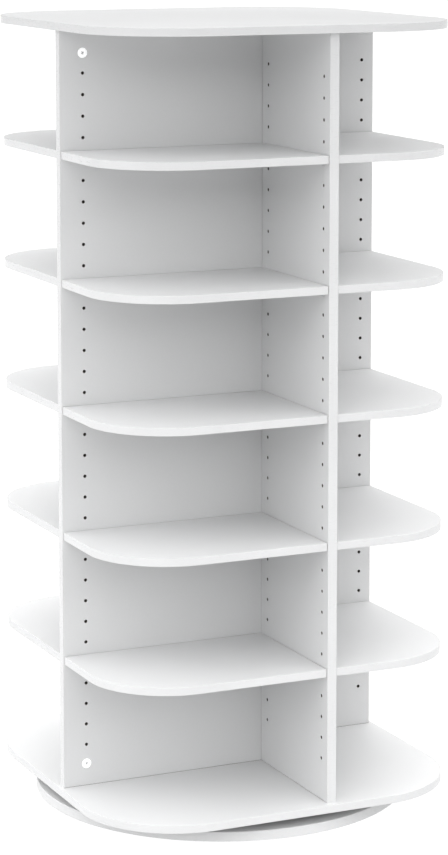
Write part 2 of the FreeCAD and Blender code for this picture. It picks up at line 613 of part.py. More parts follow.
# ------------------------------------------------------------------- shelf pins
def make_shelf_pins(tier):
    """Metal pins of one tier: a shank in the panel, a heel plate and a tongue."""
    body = new_body(f"shelf_pins_tier_{tier + 1}", lift=f"{PANEL_Z} + {shelf_pin_height(tier)}")
    tongue_bottom = "Sizes.pin_seat_rise - Sizes.pin_tongue_thickness"
    heel_bottom = "Sizes.pin_seat_rise - Sizes.pin_heel_height"
    shank = {"Radius": "Sizes.pin_hole_diameter / 2", "Height": "Sizes.pin_shank_length"}
    heel = {"Length": "Sizes.pin_tongue_width", "Width": "Sizes.pin_heel_height",
            "Height": "Sizes.pin_heel_thickness"}
    tongue = {"Length": "Sizes.pin_tongue_width", "Width": "Sizes.pin_tongue_thickness",
              "Height": "Sizes.pin_tongue_length"}
    # The first pin points out along -Y from the panel's front face, and the
    # second along -X from the neighbour's back face.
    places = (
        ("Front", "XZ_Plane", FRONT_ROW_X, f"{FRONT_FACE} - Sizes.pin_shank_length",
         FRONT_FACE, FRONT_FACE),
        ("Back", "YZ_Plane", BACK_ROW_Y, BUTT_X,
         f"{BUTT_X} - Sizes.pin_heel_thickness", f"{BUTT_X} - Sizes.pin_tongue_length"),
    )
    for name, plane, middle, shank_start, heel_start, tongue_start in places:
        edge = f"{middle} - Sizes.pin_tongue_width / 2"
        every_quarter(body, solid(body, "AdditiveCylinder", f"{name}Shank", plane,
                                  (middle, "0", shank_start), **shank))
        every_quarter(body, solid(body, "AdditiveBox", f"{name}Heel", plane,
                                  (edge, heel_bottom, heel_start), **heel))
        every_quarter(body, solid(body, "AdditiveBox", f"{name}Tongue", plane,
                                  (edge, tongue_bottom, tongue_start), **tongue))
    return body


def make_edge_pins(tier):
    """Plain hidden pins of one tier, half in the panel and half in the shelf's edge."""
    axis_height = f"{PANEL_Z} + {shelf_pin_height(tier)} + {EDGE_PIN_RISE}"
    body = new_body(f"edge_pins_tier_{tier + 1}", lift=axis_height)
    start = f"{BUTT_X} + Sizes.pin_shank_length - Sizes.edge_pin_length"
    pin = solid(body, "AdditiveCylinder", "EdgePin", "YZ_Plane", (EDGE_PIN_Y, "0", start),
                Radius="Sizes.pin_hole_diameter / 2", Height="Sizes.edge_pin_length")
    every_quarter(body, pin)
    return body


# ------------------------------------------------------- cam fittings and dowels
def make_cam_locks():
    """Cam locks in the panels' front faces, one near each end."""
    body = new_body("cam_locks", lift=PANEL_Z)
    lower = "Sizes.cam_end_distance"
    upper = "(Sizes.panel_height - Sizes.cam_end_distance)"
    lower_mouth = f"{lower} - Sizes.cam_diameter / 2"
    upper_mouth = f"{upper} - Sizes.cam_mouth_overrun"
    mouth_start = "Sizes.panel_offset - Sizes.cam_mouth_width / 2"
    for end, middle, mouth in (("Lower", lower, lower_mouth), ("Upper", upper, upper_mouth)):
        every_quarter(body, solid(
            body, "AdditiveCylinder", f"{end}Cam", "XZ_Plane",
            (FRONT_ROW_X, middle, f"{FRONT_FACE} - Sizes.cam_length"),
            Radius="Sizes.cam_diameter / 2", Height="Sizes.cam_length"))
        every_quarter(body, solid(
            body, "SubtractiveBox", f"{end}Mouth", "XZ_Plane",
            (f"{FRONT_ROW_X} - Sizes.cam_mouth_width / 2", mouth, mouth_start),
            Length="Sizes.cam_mouth_width", Height="Sizes.cam_mouth_width",
            Width="Sizes.cam_diameter / 2 + Sizes.cam_mouth_overrun"))
        recess = new_sketch(body, f"{end}Cross", "XZ_Plane", FRONT_FACE)
        draw_cross(recess, FRONT_ROW_X, middle, "Sizes.cam_slot_length", "Sizes.cam_slot_width")
        every_quarter(body, pocket(body, recess, "Sizes.cam_slot_depth"))
    return body


def make_cam_bolts():
    """Steel bolts screwed into the boards, with their heads in the cam locks."""
    body = new_body("cam_bolts", lift=PANEL_Z)
    head_end = "(Sizes.cam_end_distance + Sizes.bolt_head_overrun)"
    head_start = f"({head_end} - Sizes.bolt_head_height)"
    neck_start = f"({head_start} - Sizes.bolt_neck_length)"
    thread_start = "(-Sizes.bolt_thread_length)"
    stages = (
        ("Shank", "Sizes.bolt_diameter / 2", thread_start, neck_start),
        ("Neck", "Sizes.bolt_neck_diameter / 2", neck_start, head_start),
        ("Head", "Sizes.bolt_head_diameter / 2", head_start, head_end),
    )
    for name, radius, start, end in stages:
        lower_and_upper = (("Lower", start), ("Upper", f"Sizes.panel_height - {end}"))
        for side, foot in lower_and_upper:
            every_quarter(body, solid(
                body, "AdditiveCylinder", f"{side}{name}", "XY_Plane",
                (FRONT_ROW_X, "-Sizes.panel_offset", foot),
                Radius=radius, Height=f"{end} - {start}"))
    return body


def make_board_dowels():
    """Beech dowels that locate the panels' ends in the boards."""
    body = new_body("board_dowels", lift=PANEL_Z)
    upper_start = "Sizes.panel_height + Sizes.dowel_short_end - Sizes.dowel_length"
    for end, start in (("Lower", "-Sizes.dowel_short_end"), ("Upper", upper_start)):
        for place, across in (("Outer", OUTER_DOWEL_X), ("Inner", INNER_DOWEL_X)):
            every_quarter(body, solid(
                body, "AdditiveCylinder", f"{end}{place}Dowel", "XY_Plane",
                (across, "-Sizes.panel_offset", start),
                Radius="Sizes.dowel_diameter / 2", Height="Sizes.dowel_length"))
    return body


def make_panel_dowels():
    """Beech dowels of the glued butt joints between neighbouring panels."""
    body = new_body("panel_dowels", lift=PANEL_Z)
    start = f"{BUTT_X} + Sizes.dowel_short_end - Sizes.dowel_length"
    for number, height in enumerate(BUTT_DOWEL_HEIGHTS):
        every_quarter(body, solid(
            body, "AdditiveCylinder", f"ButtDowel{number}", "YZ_Plane",
            ("-Sizes.panel_offset", height, start),
            Radius="Sizes.dowel_diameter / 2", Height="Sizes.dowel_length"))
    return body


# --------------------------------------------------------------------- assembly
parts = [
    make_base_glides(),
    make_base_disc(),
    make_swivel_plate("swivel_lower_plate", "Sizes.lower_flange_radius", "Sizes.eyelet_radius",
                      "Sizes.lower_screw_circle_radius", upside_down=False),
    make_swivel_screws("swivel_lower_screws", "Sizes.lower_screw_circle_radius", False),
    make_swivel_eyelet(),
    make_bearing_balls(),
    make_ball_cage(),
    make_swivel_plate("swivel_upper_plate", "Sizes.upper_flange_radius",
                      "(Sizes.eyelet_radius + Sizes.eyelet_clearance)",
                      "Sizes.upper_screw_circle_radius", upside_down=True),
    make_swivel_screws("swivel_upper_screws", "Sizes.upper_screw_circle_radius", True),
    make_bottom_board(),
    make_top_board(),
    make_cam_locks(),
    make_cam_bolts(),
    make_board_dowels(),
    make_panel_dowels(),
]
for quarter in range(QUARTERS):
    parts.append(make_panel(quarter, f"upright_panel_{quarter + 1}"))
for tier in range(whole_number("shelf_tiers")):
    parts.append(make_shelf_pins(tier))
    parts.append(make_edge_pins(tier))
    for quarter in range(QUARTERS):
        parts.append(make_shelf(tier, quarter))
doc.recompute()

for item in doc.Objects:
    if {"Invalid", "Error"} & set(item.State):
        raise RuntimeError(f"{item.Label} did not build: {item.State} {item.getStatusString()}")
for part in parts:
    if part.Shape.isNull() or not part.Shape.isValid():
        raise RuntimeError(f"{part.Label} has no valid shape")

os.makedirs("parts", exist_ok=True)
for part in parts:
    part.Shape.exportStep(f"parts/{part.Label}.step")
print(f"{len(parts)} sub-parts written")
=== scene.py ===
from math import atan2, cos, pi, radians, sin, sqrt

import bmesh
import bpy
from mathutils import Matrix, Vector


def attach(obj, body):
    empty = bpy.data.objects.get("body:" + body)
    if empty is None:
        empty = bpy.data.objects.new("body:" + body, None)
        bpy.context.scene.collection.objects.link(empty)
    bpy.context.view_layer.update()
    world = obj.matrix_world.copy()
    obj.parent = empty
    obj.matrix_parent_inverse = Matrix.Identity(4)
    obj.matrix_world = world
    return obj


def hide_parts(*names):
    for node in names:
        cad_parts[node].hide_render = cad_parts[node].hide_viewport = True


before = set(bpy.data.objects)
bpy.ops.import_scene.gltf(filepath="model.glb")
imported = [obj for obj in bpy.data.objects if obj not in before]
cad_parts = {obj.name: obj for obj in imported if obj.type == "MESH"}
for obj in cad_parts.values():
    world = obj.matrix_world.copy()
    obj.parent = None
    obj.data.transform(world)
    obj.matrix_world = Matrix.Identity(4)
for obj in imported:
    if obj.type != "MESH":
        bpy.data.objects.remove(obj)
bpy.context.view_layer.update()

# Rotating shoe tower, from the floor up: a round base on glides, a ball-bearing
# swivel, a bottom board, four upright panels in a pinwheel, twenty shelves on pins
# and a top board.  Shapes are drawn in millimetres round the tower's axis.


# ------------------------ base glides
# Eight moulded plastic glides that keep the round base off the floor.  Each is a
# low button with a rounded shoulder and a dimple where the mould's gate was.
MM = 0.001
GLIDE_COUNT = 8
GLIDE_CIRCLE = 262
GLIDE_RADIUS = 16
GLIDE_HEIGHT = 2.5
GLIDE_STEPS = 40
GLIDE_BLACK = (0.018, 0.018, 0.020)
GLIDE_WORN = (0.060, 0.060, 0.062)


def add_node(tree, kind, inputs=(), **settings):
    """A node with its settings made and its inputs set or linked."""
    node = tree.nodes.new(kind)
    for setting, value in settings.items():
        setattr(node, setting, value)
    for name, value in dict(inputs).items():
        if isinstance(value, bpy.types.NodeSocket):
            tree.links.new(value, node.inputs[name])
        else:
            node.inputs[name].default_value = value
    return node


def start_finish(name, **shader):
    """A new material, its shader and the coordinates of the piece."""
    finish = bpy.data.materials.new(name)
    finish.use_nodes = True
    gloss = finish.node_tree.nodes["Principled BSDF"]
    for socket, value in shader.items():
        gloss.inputs[socket.replace("_", " ")].default_value = value
    return finish, gloss, add_node(finish.node_tree, "ShaderNodeTexCoord").outputs["Object"]


def stretch(place, scale):
    """Coordinates squeezed or drawn out along each axis."""
    inputs = {"Vector": place, "Scale": scale}
    return add_node(place.id_data, "ShaderNodeMapping", inputs).outputs["Vector"]


def noise(place, scale, detail=2.0, roughness=0.5):
    """Cloudy variation from 0 to 1, so many clouds to the metre."""
    inputs = {"Vector": place, "Scale": scale, "Detail": detail, "Roughness": roughness}
    return add_node(place.id_data, "ShaderNodeTexNoise", inputs).outputs["Fac"]


def arithmetic(operation, first, second):
    """One value worked out from two, the first of them another node's."""
    inputs = {0: first, 1: second}
    return add_node(first.id_data, "ShaderNodeMath", inputs, operation=operation).outputs[0]


def between(source, low, high, start=0.3, end=0.7):
    """A value that runs from low to high as its source runs from start to end."""
    inputs = {"Value": source, "From Min": start, "From Max": end, "To Min": low, "To Max": high}
    return add_node(source.id_data, "ShaderNodeMapRange", inputs).outputs["Result"]


def colour(gloss, source, *stops):
    """The shader's colour, picked by a source along stops of (place, colour)."""
    ramp = add_node(gloss.id_data, "ShaderNodeValToRGB", {"Fac": source})
    bands = ramp.color_ramp.elements
    while len(bands) < len(stops):
        bands.new(0.5)
    for band, (position, shade) in zip(bands, stops):
        band.position = position
        band.color = (*shade, 1)
    gloss.id_data.links.new(ramp.outputs["Color"], gloss.inputs["Base Color"])


def dull(gloss, source, low, high):
    """The shader's roughness, running from low to high with a source."""
    gloss.id_data.links.new(between(source, low, high), gloss.inputs["Roughness"])


def relief(gloss, *layers):
    """Bumps of (height source, depth in millimetres), one over the other."""
    inputs = {"Strength": 1.0}
    for height, depth in layers:
        inputs |= {"Height": height, "Distance": depth * MM}
        inputs["Normal"] = add_node(gloss.id_data, "ShaderNodeBump", inputs).outputs["Normal"]
    gloss.id_data.links.new(inputs["Normal"], gloss.inputs["Normal"])


def arc(centre, radius, start, end, steps):
    """Points along an arc, in degrees, both ends among them."""
    turns = [radians(start + (end - start) * step / steps) for step in range(steps + 1)]
    return [(centre[0] + radius * cos(turn), centre[1] + radius * sin(turn)) for turn in turns]


def on_circle(radius, count, centre=(0, 0)):
    """Points evenly round a centre, the first on its +X side."""
    return arc(centre, radius, 0, 360 - 360 / count, count - 1)


def ring_at(shape, points, level):
    """Corners of a shape, all at one level."""
    return [shape.verts.new((point[0], point[1], level)) for point in points]


def turned(profile, steps, closed=False):
    """A shape turned round the upright axis from (radius, height) points."""
    shape = bmesh.new()
    grain = shape.loops.layers.uv.verify()
    rings = []
    for radius, height in profile:
        if radius == 0:
            rings.append([shape.verts.new((0, 0, height))] * steps)
        else:
            rings.append(ring_at(shape, on_circle(radius, steps), height))
    for lower, upper in zip(rings, rings[1:] + (rings[:1] if closed else [])):
        for step in range(steps):
            after = (step + 1) % steps
            corners = [lower[step], lower[after], upper[after], upper[step]]
            face = shape.faces.new(list(dict.fromkeys(corners)))
            for loop in face.loops:
                turn = (step + (loop.vert in (lower[after], upper[after]))) / steps
                loop[grain].uv = (turn, loop.vert.co.z * MM)
    return shape


def placed(shape, place=(0, 0, 0), turn=0.0, axis="Z"):
    """A shape or mesh, turned about its own axis and then set in its place."""
    shape.transform(Matrix.Translation(place) @ Matrix.Rotation(turn, 4, axis))
    return shape


def as_drawn(shape):
    """The shape as a mesh, still in millimetres."""
    mesh = bpy.data.meshes.new("shape")
    shape.to_mesh(mesh)
    shape.free()
    return mesh


def mesh_of(shape, *finishes):
    """The shape as a mesh in metres, with its faces outwards and its finishes."""
    bmesh.ops.recalc_face_normals(shape, faces=shape.faces)
    shape.transform(Matrix.Scale(MM, 4))
    mesh = as_drawn(shape)
    for finish in finishes:
        mesh.materials.append(finish)
    return mesh


def new_object(name, data):
    """An object in the scene, at the origin, with its data named after it."""
    data.name = name
    thing = bpy.data.objects.new(name, data)
    bpy.context.scene.collection.objects.link(thing)
    return thing


def worked(mesh, kind, inputs=(), **settings):
    """The mesh after one modifier, as a plain mesh."""
    blank = new_object("blank", mesh)
    modifier = blank.modifiers.new(kind, kind)
    for setting, value in settings.items():
        setattr(modifier, setting, value)
    for identifier, value in dict(inputs).items():
        modifier[identifier] = value
    depsgraph = bpy.context.evaluated_depsgraph_get()
    result = bpy.data.meshes.new_from_object(
        blank.evaluated_get(depsgraph), preserve_all_data_layers=True, depsgraph=depsgraph)
    bpy.data.objects.remove(blank)
    return result


def smoothed(mesh, sharp_from=50):
    """Soft shading over small turns, with flat faces kept flat up to their edges."""
    mesh.shade_smooth()
    mesh.set_sharp_from_angle(angle=radians(sharp_from))
    return worked(mesh, "WEIGHTED_NORMAL", keep_sharp=True)


def geometry_tree(name, result, **inputs):
    """A tree with inputs of the kinds given and one result, and its inputs' values."""
    tree = bpy.data.node_groups.new(name, "GeometryNodeTree")
    tree.is_modifier = True
    for label, kind in inputs.items():
        tree.interface.new_socket(label, in_out="INPUT", socket_type=f"NodeSocket{kind}")
    tree.interface.new_socket(result, in_out="OUTPUT", socket_type="NodeSocketGeometry")
    return tree, add_node(tree, "NodeGroupInput").outputs


def copies_round_the_axis(finish_count):
    """Nodes that set copies of a piece evenly round the tower's axis, in its finishes."""
    finishes = [f"Finish {n}" for n in range(finish_count)]
    tree, given = geometry_tree("copies round the axis", "Pieces", Piece="Geometry",
                                Count="Int", **dict.fromkeys(finishes, "Material"))
    points = add_node(tree, "GeometryNodePoints", {"Count": given["Count"]})
    number = add_node(tree, "GeometryNodeInputIndex").outputs["Index"]
    turn = arithmetic("MULTIPLY", arithmetic("DIVIDE", number, given["Count"]), 2 * pi)
    rotation = add_node(tree, "ShaderNodeCombineXYZ", {"Z": turn}).outputs["Vector"]
    copies = add_node(tree, "GeometryNodeInstanceOnPoints", {
        "Points": points.outputs[0], "Instance": given["Piece"], "Rotation": rotation})
    dressed = add_node(tree, "GeometryNodeRealizeInstances", {0: copies.outputs[0]})
    worn = add_node(tree, "GeometryNodeInputMaterialIndex").outputs[0]
    for n, finish in enumerate(finishes):
        dressed = add_node(tree, "GeometryNodeSetMaterial", {
            "Geometry": dressed.outputs[0], "Material": given[finish],
            "Selection": arithmetic("COMPARE", worn, n)})
    add_node(tree, "NodeGroupOutput", {"Pieces": dressed.outputs[0]})
    return tree


AXIS_COPIES = {count: copies_round_the_axis(count) for count in (1, 2)}


def grown(mesh, tree, **values):
    """What a geometry tree makes of a mesh, with the tree's inputs given by name."""
    sockets = {item.name: item.identifier for item in tree.interface.items_tree
               if item.in_out == "INPUT"}
    inputs = {sockets[name]: value for name, value in values.items()}
    return worked(mesh, "NODES", inputs, node_group=tree)


def round_the_axis(shape, count, *finishes):
    """Copies of a shape set evenly round the tower's axis, as one plain mesh."""
    worn = {f"Finish {n}": finish for n, finish in enumerate(finishes)}
    return grown(mesh_of(shape, *finishes), AXIS_COPIES[len(finishes)], Count=count, **worn)


def glide_plastic():
    """Black polyethylene: fine mould grain, scuffed paler where it stands."""
    finish, gloss, place = start_finish("black glide plastic")
    scuffs = noise(stretch(place, (1, 6, 1)), 260, 4)
    worn = between(scuffs, 0, 1, 0.52, 0.68)
    colour(gloss, worn, (0, GLIDE_BLACK), (1, GLIDE_WORN))
    dull(gloss, scuffs, 0.38, 0.62)
    relief(gloss, (noise(place, 900, 3), 0.03), (scuffs, 0.05))
    return finish


glide = turned([
    (0, 0.25), (3.2, 0.25), (4.0, 0), (GLIDE_RADIUS - 1.4, 0), (GLIDE_RADIUS - 0.5, 0.3),
    (GLIDE_RADIUS, 1.1), (GLIDE_RADIUS, GLIDE_HEIGHT), (0, GLIDE_HEIGHT)], GLIDE_STEPS)
glides = round_the_axis(placed(glide, (GLIDE_CIRCLE, 0, 0)), GLIDE_COUNT, glide_plastic())
piece = new_object("floor_glides", smoothed(glides))
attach(piece, "base")
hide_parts("base_glides")


# -------------------------- base disc
# Round base board of white melamine-faced chipboard.  Its rim is banded, its top
# is drilled for the swivel's screws, and one large hole lets a screwdriver pass.
DISC_RADIUS = 290
DISC_BOTTOM = 2.5
DISC_THICKNESS = 15
DISC_ARRIS = 0.9
DISC_STEPS = 180
SCREW_COUNT = 8
SCREW_PILOT = (2, 9)
LOWER_SCREW_CIRCLE = 139
UPPER_SCREW_CIRCLE = 158
ACCESS_HOLE_RADIUS = 8
BAND_THICKNESS = 1.0
GLUE_LINE = 0.15
HOLE_MOUTH = 0.25
HOLE_STEPS = 18
WIDE_HOLE = 5
FACE, BAND, GLUE, CORE = range(4)
MELAMINE_LIGHT = (0.640, 0.643, 0.646)
MELAMINE_SHADE = (0.620, 0.623, 0.627)
# The band is a little greyer than the melamine: painted shade that darkens the boards' edges
# against their faces.
SHADED_BAND_PALE = (0.608, 0.611, 0.615)
SHADED_BAND_DEEP = (0.588, 0.591, 0.595)
GLUE_COLOUR = (0.560, 0.545, 0.515)
GLUE_PALE = (0.70000, 0.68125, 0.64375)
# The cut chipboard is much darker than bare chipboard: its own colour plus painted shade for deep
# holes and for the lines where sawn ends meet.
SHADED_CHIP_COLOURS = ((0.0, (0.030, 0.026, 0.022)), (0.45, (0.085, 0.073, 0.062)),
                (0.75, (0.150, 0.132, 0.112)), (1.0, (0.250, 0.225, 0.195)))


def blended(first, share, second):
    """Two patterns in one, the first with its share."""
    return arithmetic("ADD", arithmetic("MULTIPLY", first, share),
                      arithmetic("MULTIPLY", second, 1 - share))


def flakes(place, scale):
    """The even grey of each flake, so many to the metre, and the distance to its middle."""
    cells = add_node(place.id_data, "ShaderNodeTexVoronoi", {"Vector": place, "Scale": scale})
    grey = add_node(place.id_data, "ShaderNodeRGBToBW", {"Color": cells.outputs["Color"]})
    return grey.outputs[0], cells.outputs["Distance"]


def melamine():
    """Satin white melamine: a pressed pearl grain, faintly uneven in tone."""
    finish, gloss, place = start_finish("white melamine", IOR=1.48)
    mottle = noise(place, 320, 2)
    tone = blended(noise(place, 4, 3), 0.6, mottle)
    colour(gloss, tone, (0.35, MELAMINE_SHADE), (0.65, MELAMINE_LIGHT))
    dull(gloss, mottle, 0.36, 0.46)
    relief(gloss, (noise(place, 9, 0), 0.5), (noise(place, 1100, 1), 0.06))
    return finish


def edge_band():
    """White plastic edge band: glossier than the faces, with faint planing ripples, and a little
    greyer than them as painted shade on the edges.
    """
    finish, gloss, place = start_finish("white edge band", IOR=1.5)
    colour(gloss, noise(place, 14, 3), (0.35, SHADED_BAND_DEEP), (0.65, SHADED_BAND_PALE))
    ripples = noise(stretch(place, (1, 1, 14)), 120, 2)
    dull(gloss, ripples, 0.26, 0.36)
    relief(gloss, (ripples, 0.03), (noise(place, 1400, 2), 0.015))
    return finish


def glue_line():
    """The hairline of glue and board between a band and the melamine."""
    finish, gloss, place = start_finish("band glue line", Roughness=0.7)
    smear = noise(place, 420, 3)
    colour(gloss, smear, (0.3, GLUE_COLOUR), (0.7, GLUE_PALE))
    relief(gloss, (smear, 0.05))
    return finish


def shaded_chip_core():
    """Chipboard where a drill or saw has cut it: dull grey-brown flakes, dusty and rough, painted
    much darker than bare chipboard as shade in the holes and on the sawn ends.
    """
    finish, gloss, place = start_finish("chipboard core with painted shade", Roughness=0.88)
    grey, depth = flakes(stretch(place, (1, 1, 2.2)), 520)
    fibres = noise(stretch(place, (1, 1, 5)), 1300, 4, 0.65)
    colour(gloss, blended(grey, 0.6, fibres), *SHADED_CHIP_COLOURS)
    relief(gloss, (depth, 0.3), (fibres, 0.15))
    return finish


BOARD_FINISHES = (melamine(), edge_band(), glue_line(), shaded_chip_core())


def with_neighbours(outline):
    """The points of a closed outline, each between the ones before and after it."""
    points = [Vector(point) for point in outline]
    return zip(points[-1:] + points[:-1], points, points[1:] + points[:1])


def drawn_in(outline, distance):
    """A convex outline moved inwards by a distance."""
    moved = []
    for before, here, after in with_neighbours(outline):
        back, ahead = (here - before).normalized(), (after - here).normalized()
        first, second = Vector((-back.y, back.x)), Vector((-ahead.y, ahead.x))
        moved.append(here + (first + second) * distance / (1 + first.dot(second)))
    return moved


def strip_between(shape, low, high, finishes=(0,)):
    """Four-sided faces between two rings of points, with finishes by turns."""
    count = len(low)
    for i in range(count):
        after = (i + 1) % count
        face = shape.faces.new((low[i], low[after], high[after], high[i]))
        face.material_index = finishes[i % len(finishes)]


def fill_between(shape, rings, facing):
    """A flat face that ends at each of the rings and looks up (1) or down (-1)."""
    edges = []
    for ring in rings:
        for pair in zip(ring[-1:] + ring[:-1], ring):
            edges.append(shape.edges.get(pair) or shape.edges.new(pair))
    bmesh.ops.triangle_fill(shape, edges=edges, use_beauty=True, normal=(0, 0, facing))


def hole_ring(shape, hole, thickness, wider, depth):
    """A ring of points in a hole or on its rim, so deep from the face it is drilled in."""
    face, across, along, radius = hole
    steps = HOLE_STEPS if radius < WIDE_HOLE else 2 * HOLE_STEPS
    level = thickness - depth if face else depth
    return ring_at(shape, on_circle(radius + wider, steps, (across, along)), level)


def board(outline, edges, thickness, arris, holes):
    """A board lying on the plane: edges with a broken arris, and drilled faces.

    Edges has BAND, CORE or FACE for each edge of the outline: banded, sawn and seen,
    or sawn and tight against a face.  Holes are (face, across, along, radius, depth),
    where face is 0 for the underside and 1 for the top, and a depth of None runs
    right through from the top.
    """
    shape = bmesh.new()
    bevel = arris * (1 - sqrt(0.5))
    below = [(BAND_THICKNESS + GLUE_LINE, 0), (BAND_THICKNESS, 0), (arris, 0),
             (bevel, bevel), (0, arris)]
    above = [(inset, thickness - level) for inset, level in reversed(below)]
    # Sawn ends that show take the dark chipboard finish from arris to arris, a dark line at the
    # joints that is partly painted shade.
    layers = {BAND: [GLUE, *[BAND] * 7, GLUE],
              CORE: [FACE, FACE, *[CORE] * 5, FACE, FACE],
              FACE: [*[FACE] * 4, CORE, *[FACE] * 4]}
    rings = [ring_at(shape, drawn_in(outline, inset), level) for inset, level in below + above]
    for layer, (low, high) in enumerate(zip(rings, rings[1:])):
        strip_between(shape, low, high, [layers[edge][layer] for edge in edges])
    openings = ([rings[0]], [rings[-1]])
    for face, across, along, radius, depth in holes:
        for side in (0, 1) if depth is None else (face,):
            hole = (side, across, along, radius)
            rim = hole_ring(shape, hole, thickness, HOLE_MOUTH, 0)
            strip_between(shape, rim, hole_ring(shape, hole, thickness, 0, HOLE_MOUTH))
            openings[side].append(rim)
    fill_between(shape, openings[0], -1)
    fill_between(shape, openings[1], 1)
    return shape


def hole_lining(face, across, along, radius, depth, thickness):
    """The wall and bottom of a drilled hole, below its mouth."""
    shape = bmesh.new()
    hole = (face, across, along, radius)
    end = thickness - HOLE_MOUTH if depth is None else depth
    top = hole_ring(shape, hole, thickness, 0, HOLE_MOUTH)
    bottom = hole_ring(shape, hole, thickness, 0, end)
    strip_between(shape, top, bottom, [CORE])
    if depth is not None:
        shape.faces.new(bottom).material_index = CORE
    return shape


def taken_in(shape, other):
    """One shape added to another."""
    mesh = as_drawn(other)
    shape.from_mesh(mesh)
    bpy.data.meshes.remove(mesh)


def lined_board(outline, edges, thickness, arris, holes, rows=()):
    """A drilled board with a lining in every hole that is not part of a row."""
    shape = board(outline, edges, thickness, arris, (*holes, *rows))
    for hole in holes:
        taken_in(shape, hole_lining(*hole, thickness))
    return shape


def welded(shape):
    """The shape with points that lie together made one."""
    bmesh.ops.remove_doubles(shape, verts=shape.verts, dist=0.001)
    return shape


disc_holes = [(1, *point, *SCREW_PILOT) for point in on_circle(LOWER_SCREW_CIRCLE, SCREW_COUNT)]
disc_holes.append((1, UPPER_SCREW_CIRCLE, 0, ACCESS_HOLE_RADIUS, None))
disc = welded(lined_board(on_circle(DISC_RADIUS, DISC_STEPS), [BAND] * DISC_STEPS,
                          DISC_THICKNESS, DISC_ARRIS, disc_holes))
disc = mesh_of(placed(disc, (0, 0, DISC_BOTTOM)), *BOARD_FINISHES)
piece = new_object("round_base_board", smoothed(disc))
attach(piece, "base")
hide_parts("base_disc")


# ---------------------- swivel plates
# Two pressed rings of zinc-plated sheet steel, table to table, with a groove for
# the balls in each.  The smaller is screwed to the base, the larger to the tower.
SWIVEL_BOTTOM = 17.5
SWIVEL_HEIGHT = 16.5
SHEET = 2
TABLE_RISE = 2.25
TABLE_RADIUS = 124
LOWER_FLANGE, UPPER_FLANGE = 150, 167
LOWER_PLATE_HOLE, UPPER_PLATE_HOLE = 20, 20.3
RACE_RADIUS = 100
RACE_DEPTH = 0.8
RACE_FLOOR, RACE_MOUTH = 1.6, 3.2
PRESS_RADIUS = 0.8
PLATE_SCREW_HOLE = 2.25
PLATE_STEPS, SMALL_STEPS = 144, 24
OVERRUN = 1
ZINC_BRIGHT = (0.700, 0.715, 0.735)
ZINC_DULL = (0.520, 0.535, 0.555)


def zinc():
    """Bright zinc plate: small spangles, press marks round the axis, dull patches."""
    finish, gloss, place = start_finish("zinc plate", Metallic=1.0)
    spangle, _ = flakes(place, 210)
    patches = noise(place, 22, 4)
    colour(gloss, blended(spangle, 0.35, patches), (0.25, ZINC_DULL), (0.7, ZINC_BRIGHT))
    turning = add_node(finish.node_tree, "ShaderNodeTexWave", {
        "Vector": place, "Scale": 260.0, "Distortion": 1.5, "Detail": 2.0,
        "Detail Scale": 6.0}, wave_type="RINGS", rings_direction="Z").outputs["Fac"]
    dull(gloss, patches, 0.26, 0.46)
    relief(gloss, (turning, 0.01), (patches, 0.08))
    return finish


zinc_finish = zinc()


def eased(corners, radius, steps=4):
    """A closed section with its corners rounded, by up to a third of each side."""
    section = []
    for before, here, after in with_neighbours(corners):
        back, ahead = before - here, after - here
        cut = min(radius, back.length / 3, ahead.length / 3)
        start, end = here + back.normalized() * cut, here + ahead.normalized() * cut
        for step in range(steps + 1):
            t = step / steps
            section.append(tuple((1 - t) ** 2 * start + 2 * t * (1 - t) * here + t * t * end))
    return section


def rod(radius, low, high, steps, foot=None, head=None):
    """A solid upright rod, with a chamfer of (across, along) at its foot or head."""
    profile = [(0, low), (radius, low), (radius, high), (0, high)]
    if head:
        profile[2:3] = [(radius, high - head[1]), (radius - head[0], high)]
    if foot:
        profile[1:2] = [(radius - foot[0], low), (radius, low + foot[1])]
    return turned(profile, steps)


def cut_away(mesh, cutter):
    """The mesh less another one."""
    tool = new_object("cutter", cutter)
    result = worked(mesh, "BOOLEAN", object=tool, operation="DIFFERENCE", solver="EXACT")
    bpy.data.objects.remove(tool)
    return result


def swivel_plate(hole_radius, flange_radius, screw_circle):
    """A pressed plate, flange down on the plane of its screws."""
    top = TABLE_RISE + SHEET
    wall = TABLE_RADIUS - SHEET
    floor = top - RACE_DEPTH
    section = eased([
        (hole_radius, TABLE_RISE), (wall, TABLE_RISE), (wall, 0), (flange_radius, 0),
        (flange_radius, SHEET), (TABLE_RADIUS, SHEET), (TABLE_RADIUS, top),
        (RACE_RADIUS + RACE_MOUTH, top), (RACE_RADIUS + RACE_FLOOR, floor),
        (RACE_RADIUS - RACE_FLOOR, floor), (RACE_RADIUS - RACE_MOUTH, top),
        (hole_radius, top)], PRESS_RADIUS)
    punch = bmesh.new()
    for point in on_circle(screw_circle, SCREW_COUNT):
        pin = rod(PLATE_SCREW_HOLE, -OVERRUN, SHEET + OVERRUN, SMALL_STEPS)
        taken_in(punch, placed(pin, (*point, 0)))
    plate = mesh_of(turned(section, PLATE_STEPS, closed=True), zinc_finish)
    return cut_away(plate, mesh_of(punch, zinc_finish))


# How the swivel's parts are set in place: where to, and what turn about which axis.
LIFTED = ((0, 0, SWIVEL_BOTTOM * MM),)
HUNG = ((0, 0, (SWIVEL_BOTTOM + SWIVEL_HEIGHT) * MM), pi, "X")
for name, body, node, place, *sizes in (
        ("swivel_ring_lower", "base", "swivel_lower_plate", LIFTED,
         LOWER_PLATE_HOLE, LOWER_FLANGE, LOWER_SCREW_CIRCLE),
        ("swivel_ring_upper", "tower", "swivel_upper_plate", HUNG,
         UPPER_PLATE_HOLE, UPPER_FLANGE, UPPER_SCREW_CIRCLE)):
    piece = new_object(name, smoothed(placed(swivel_plate(*sizes), *place), 40))
    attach(piece, body)
    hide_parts(node)


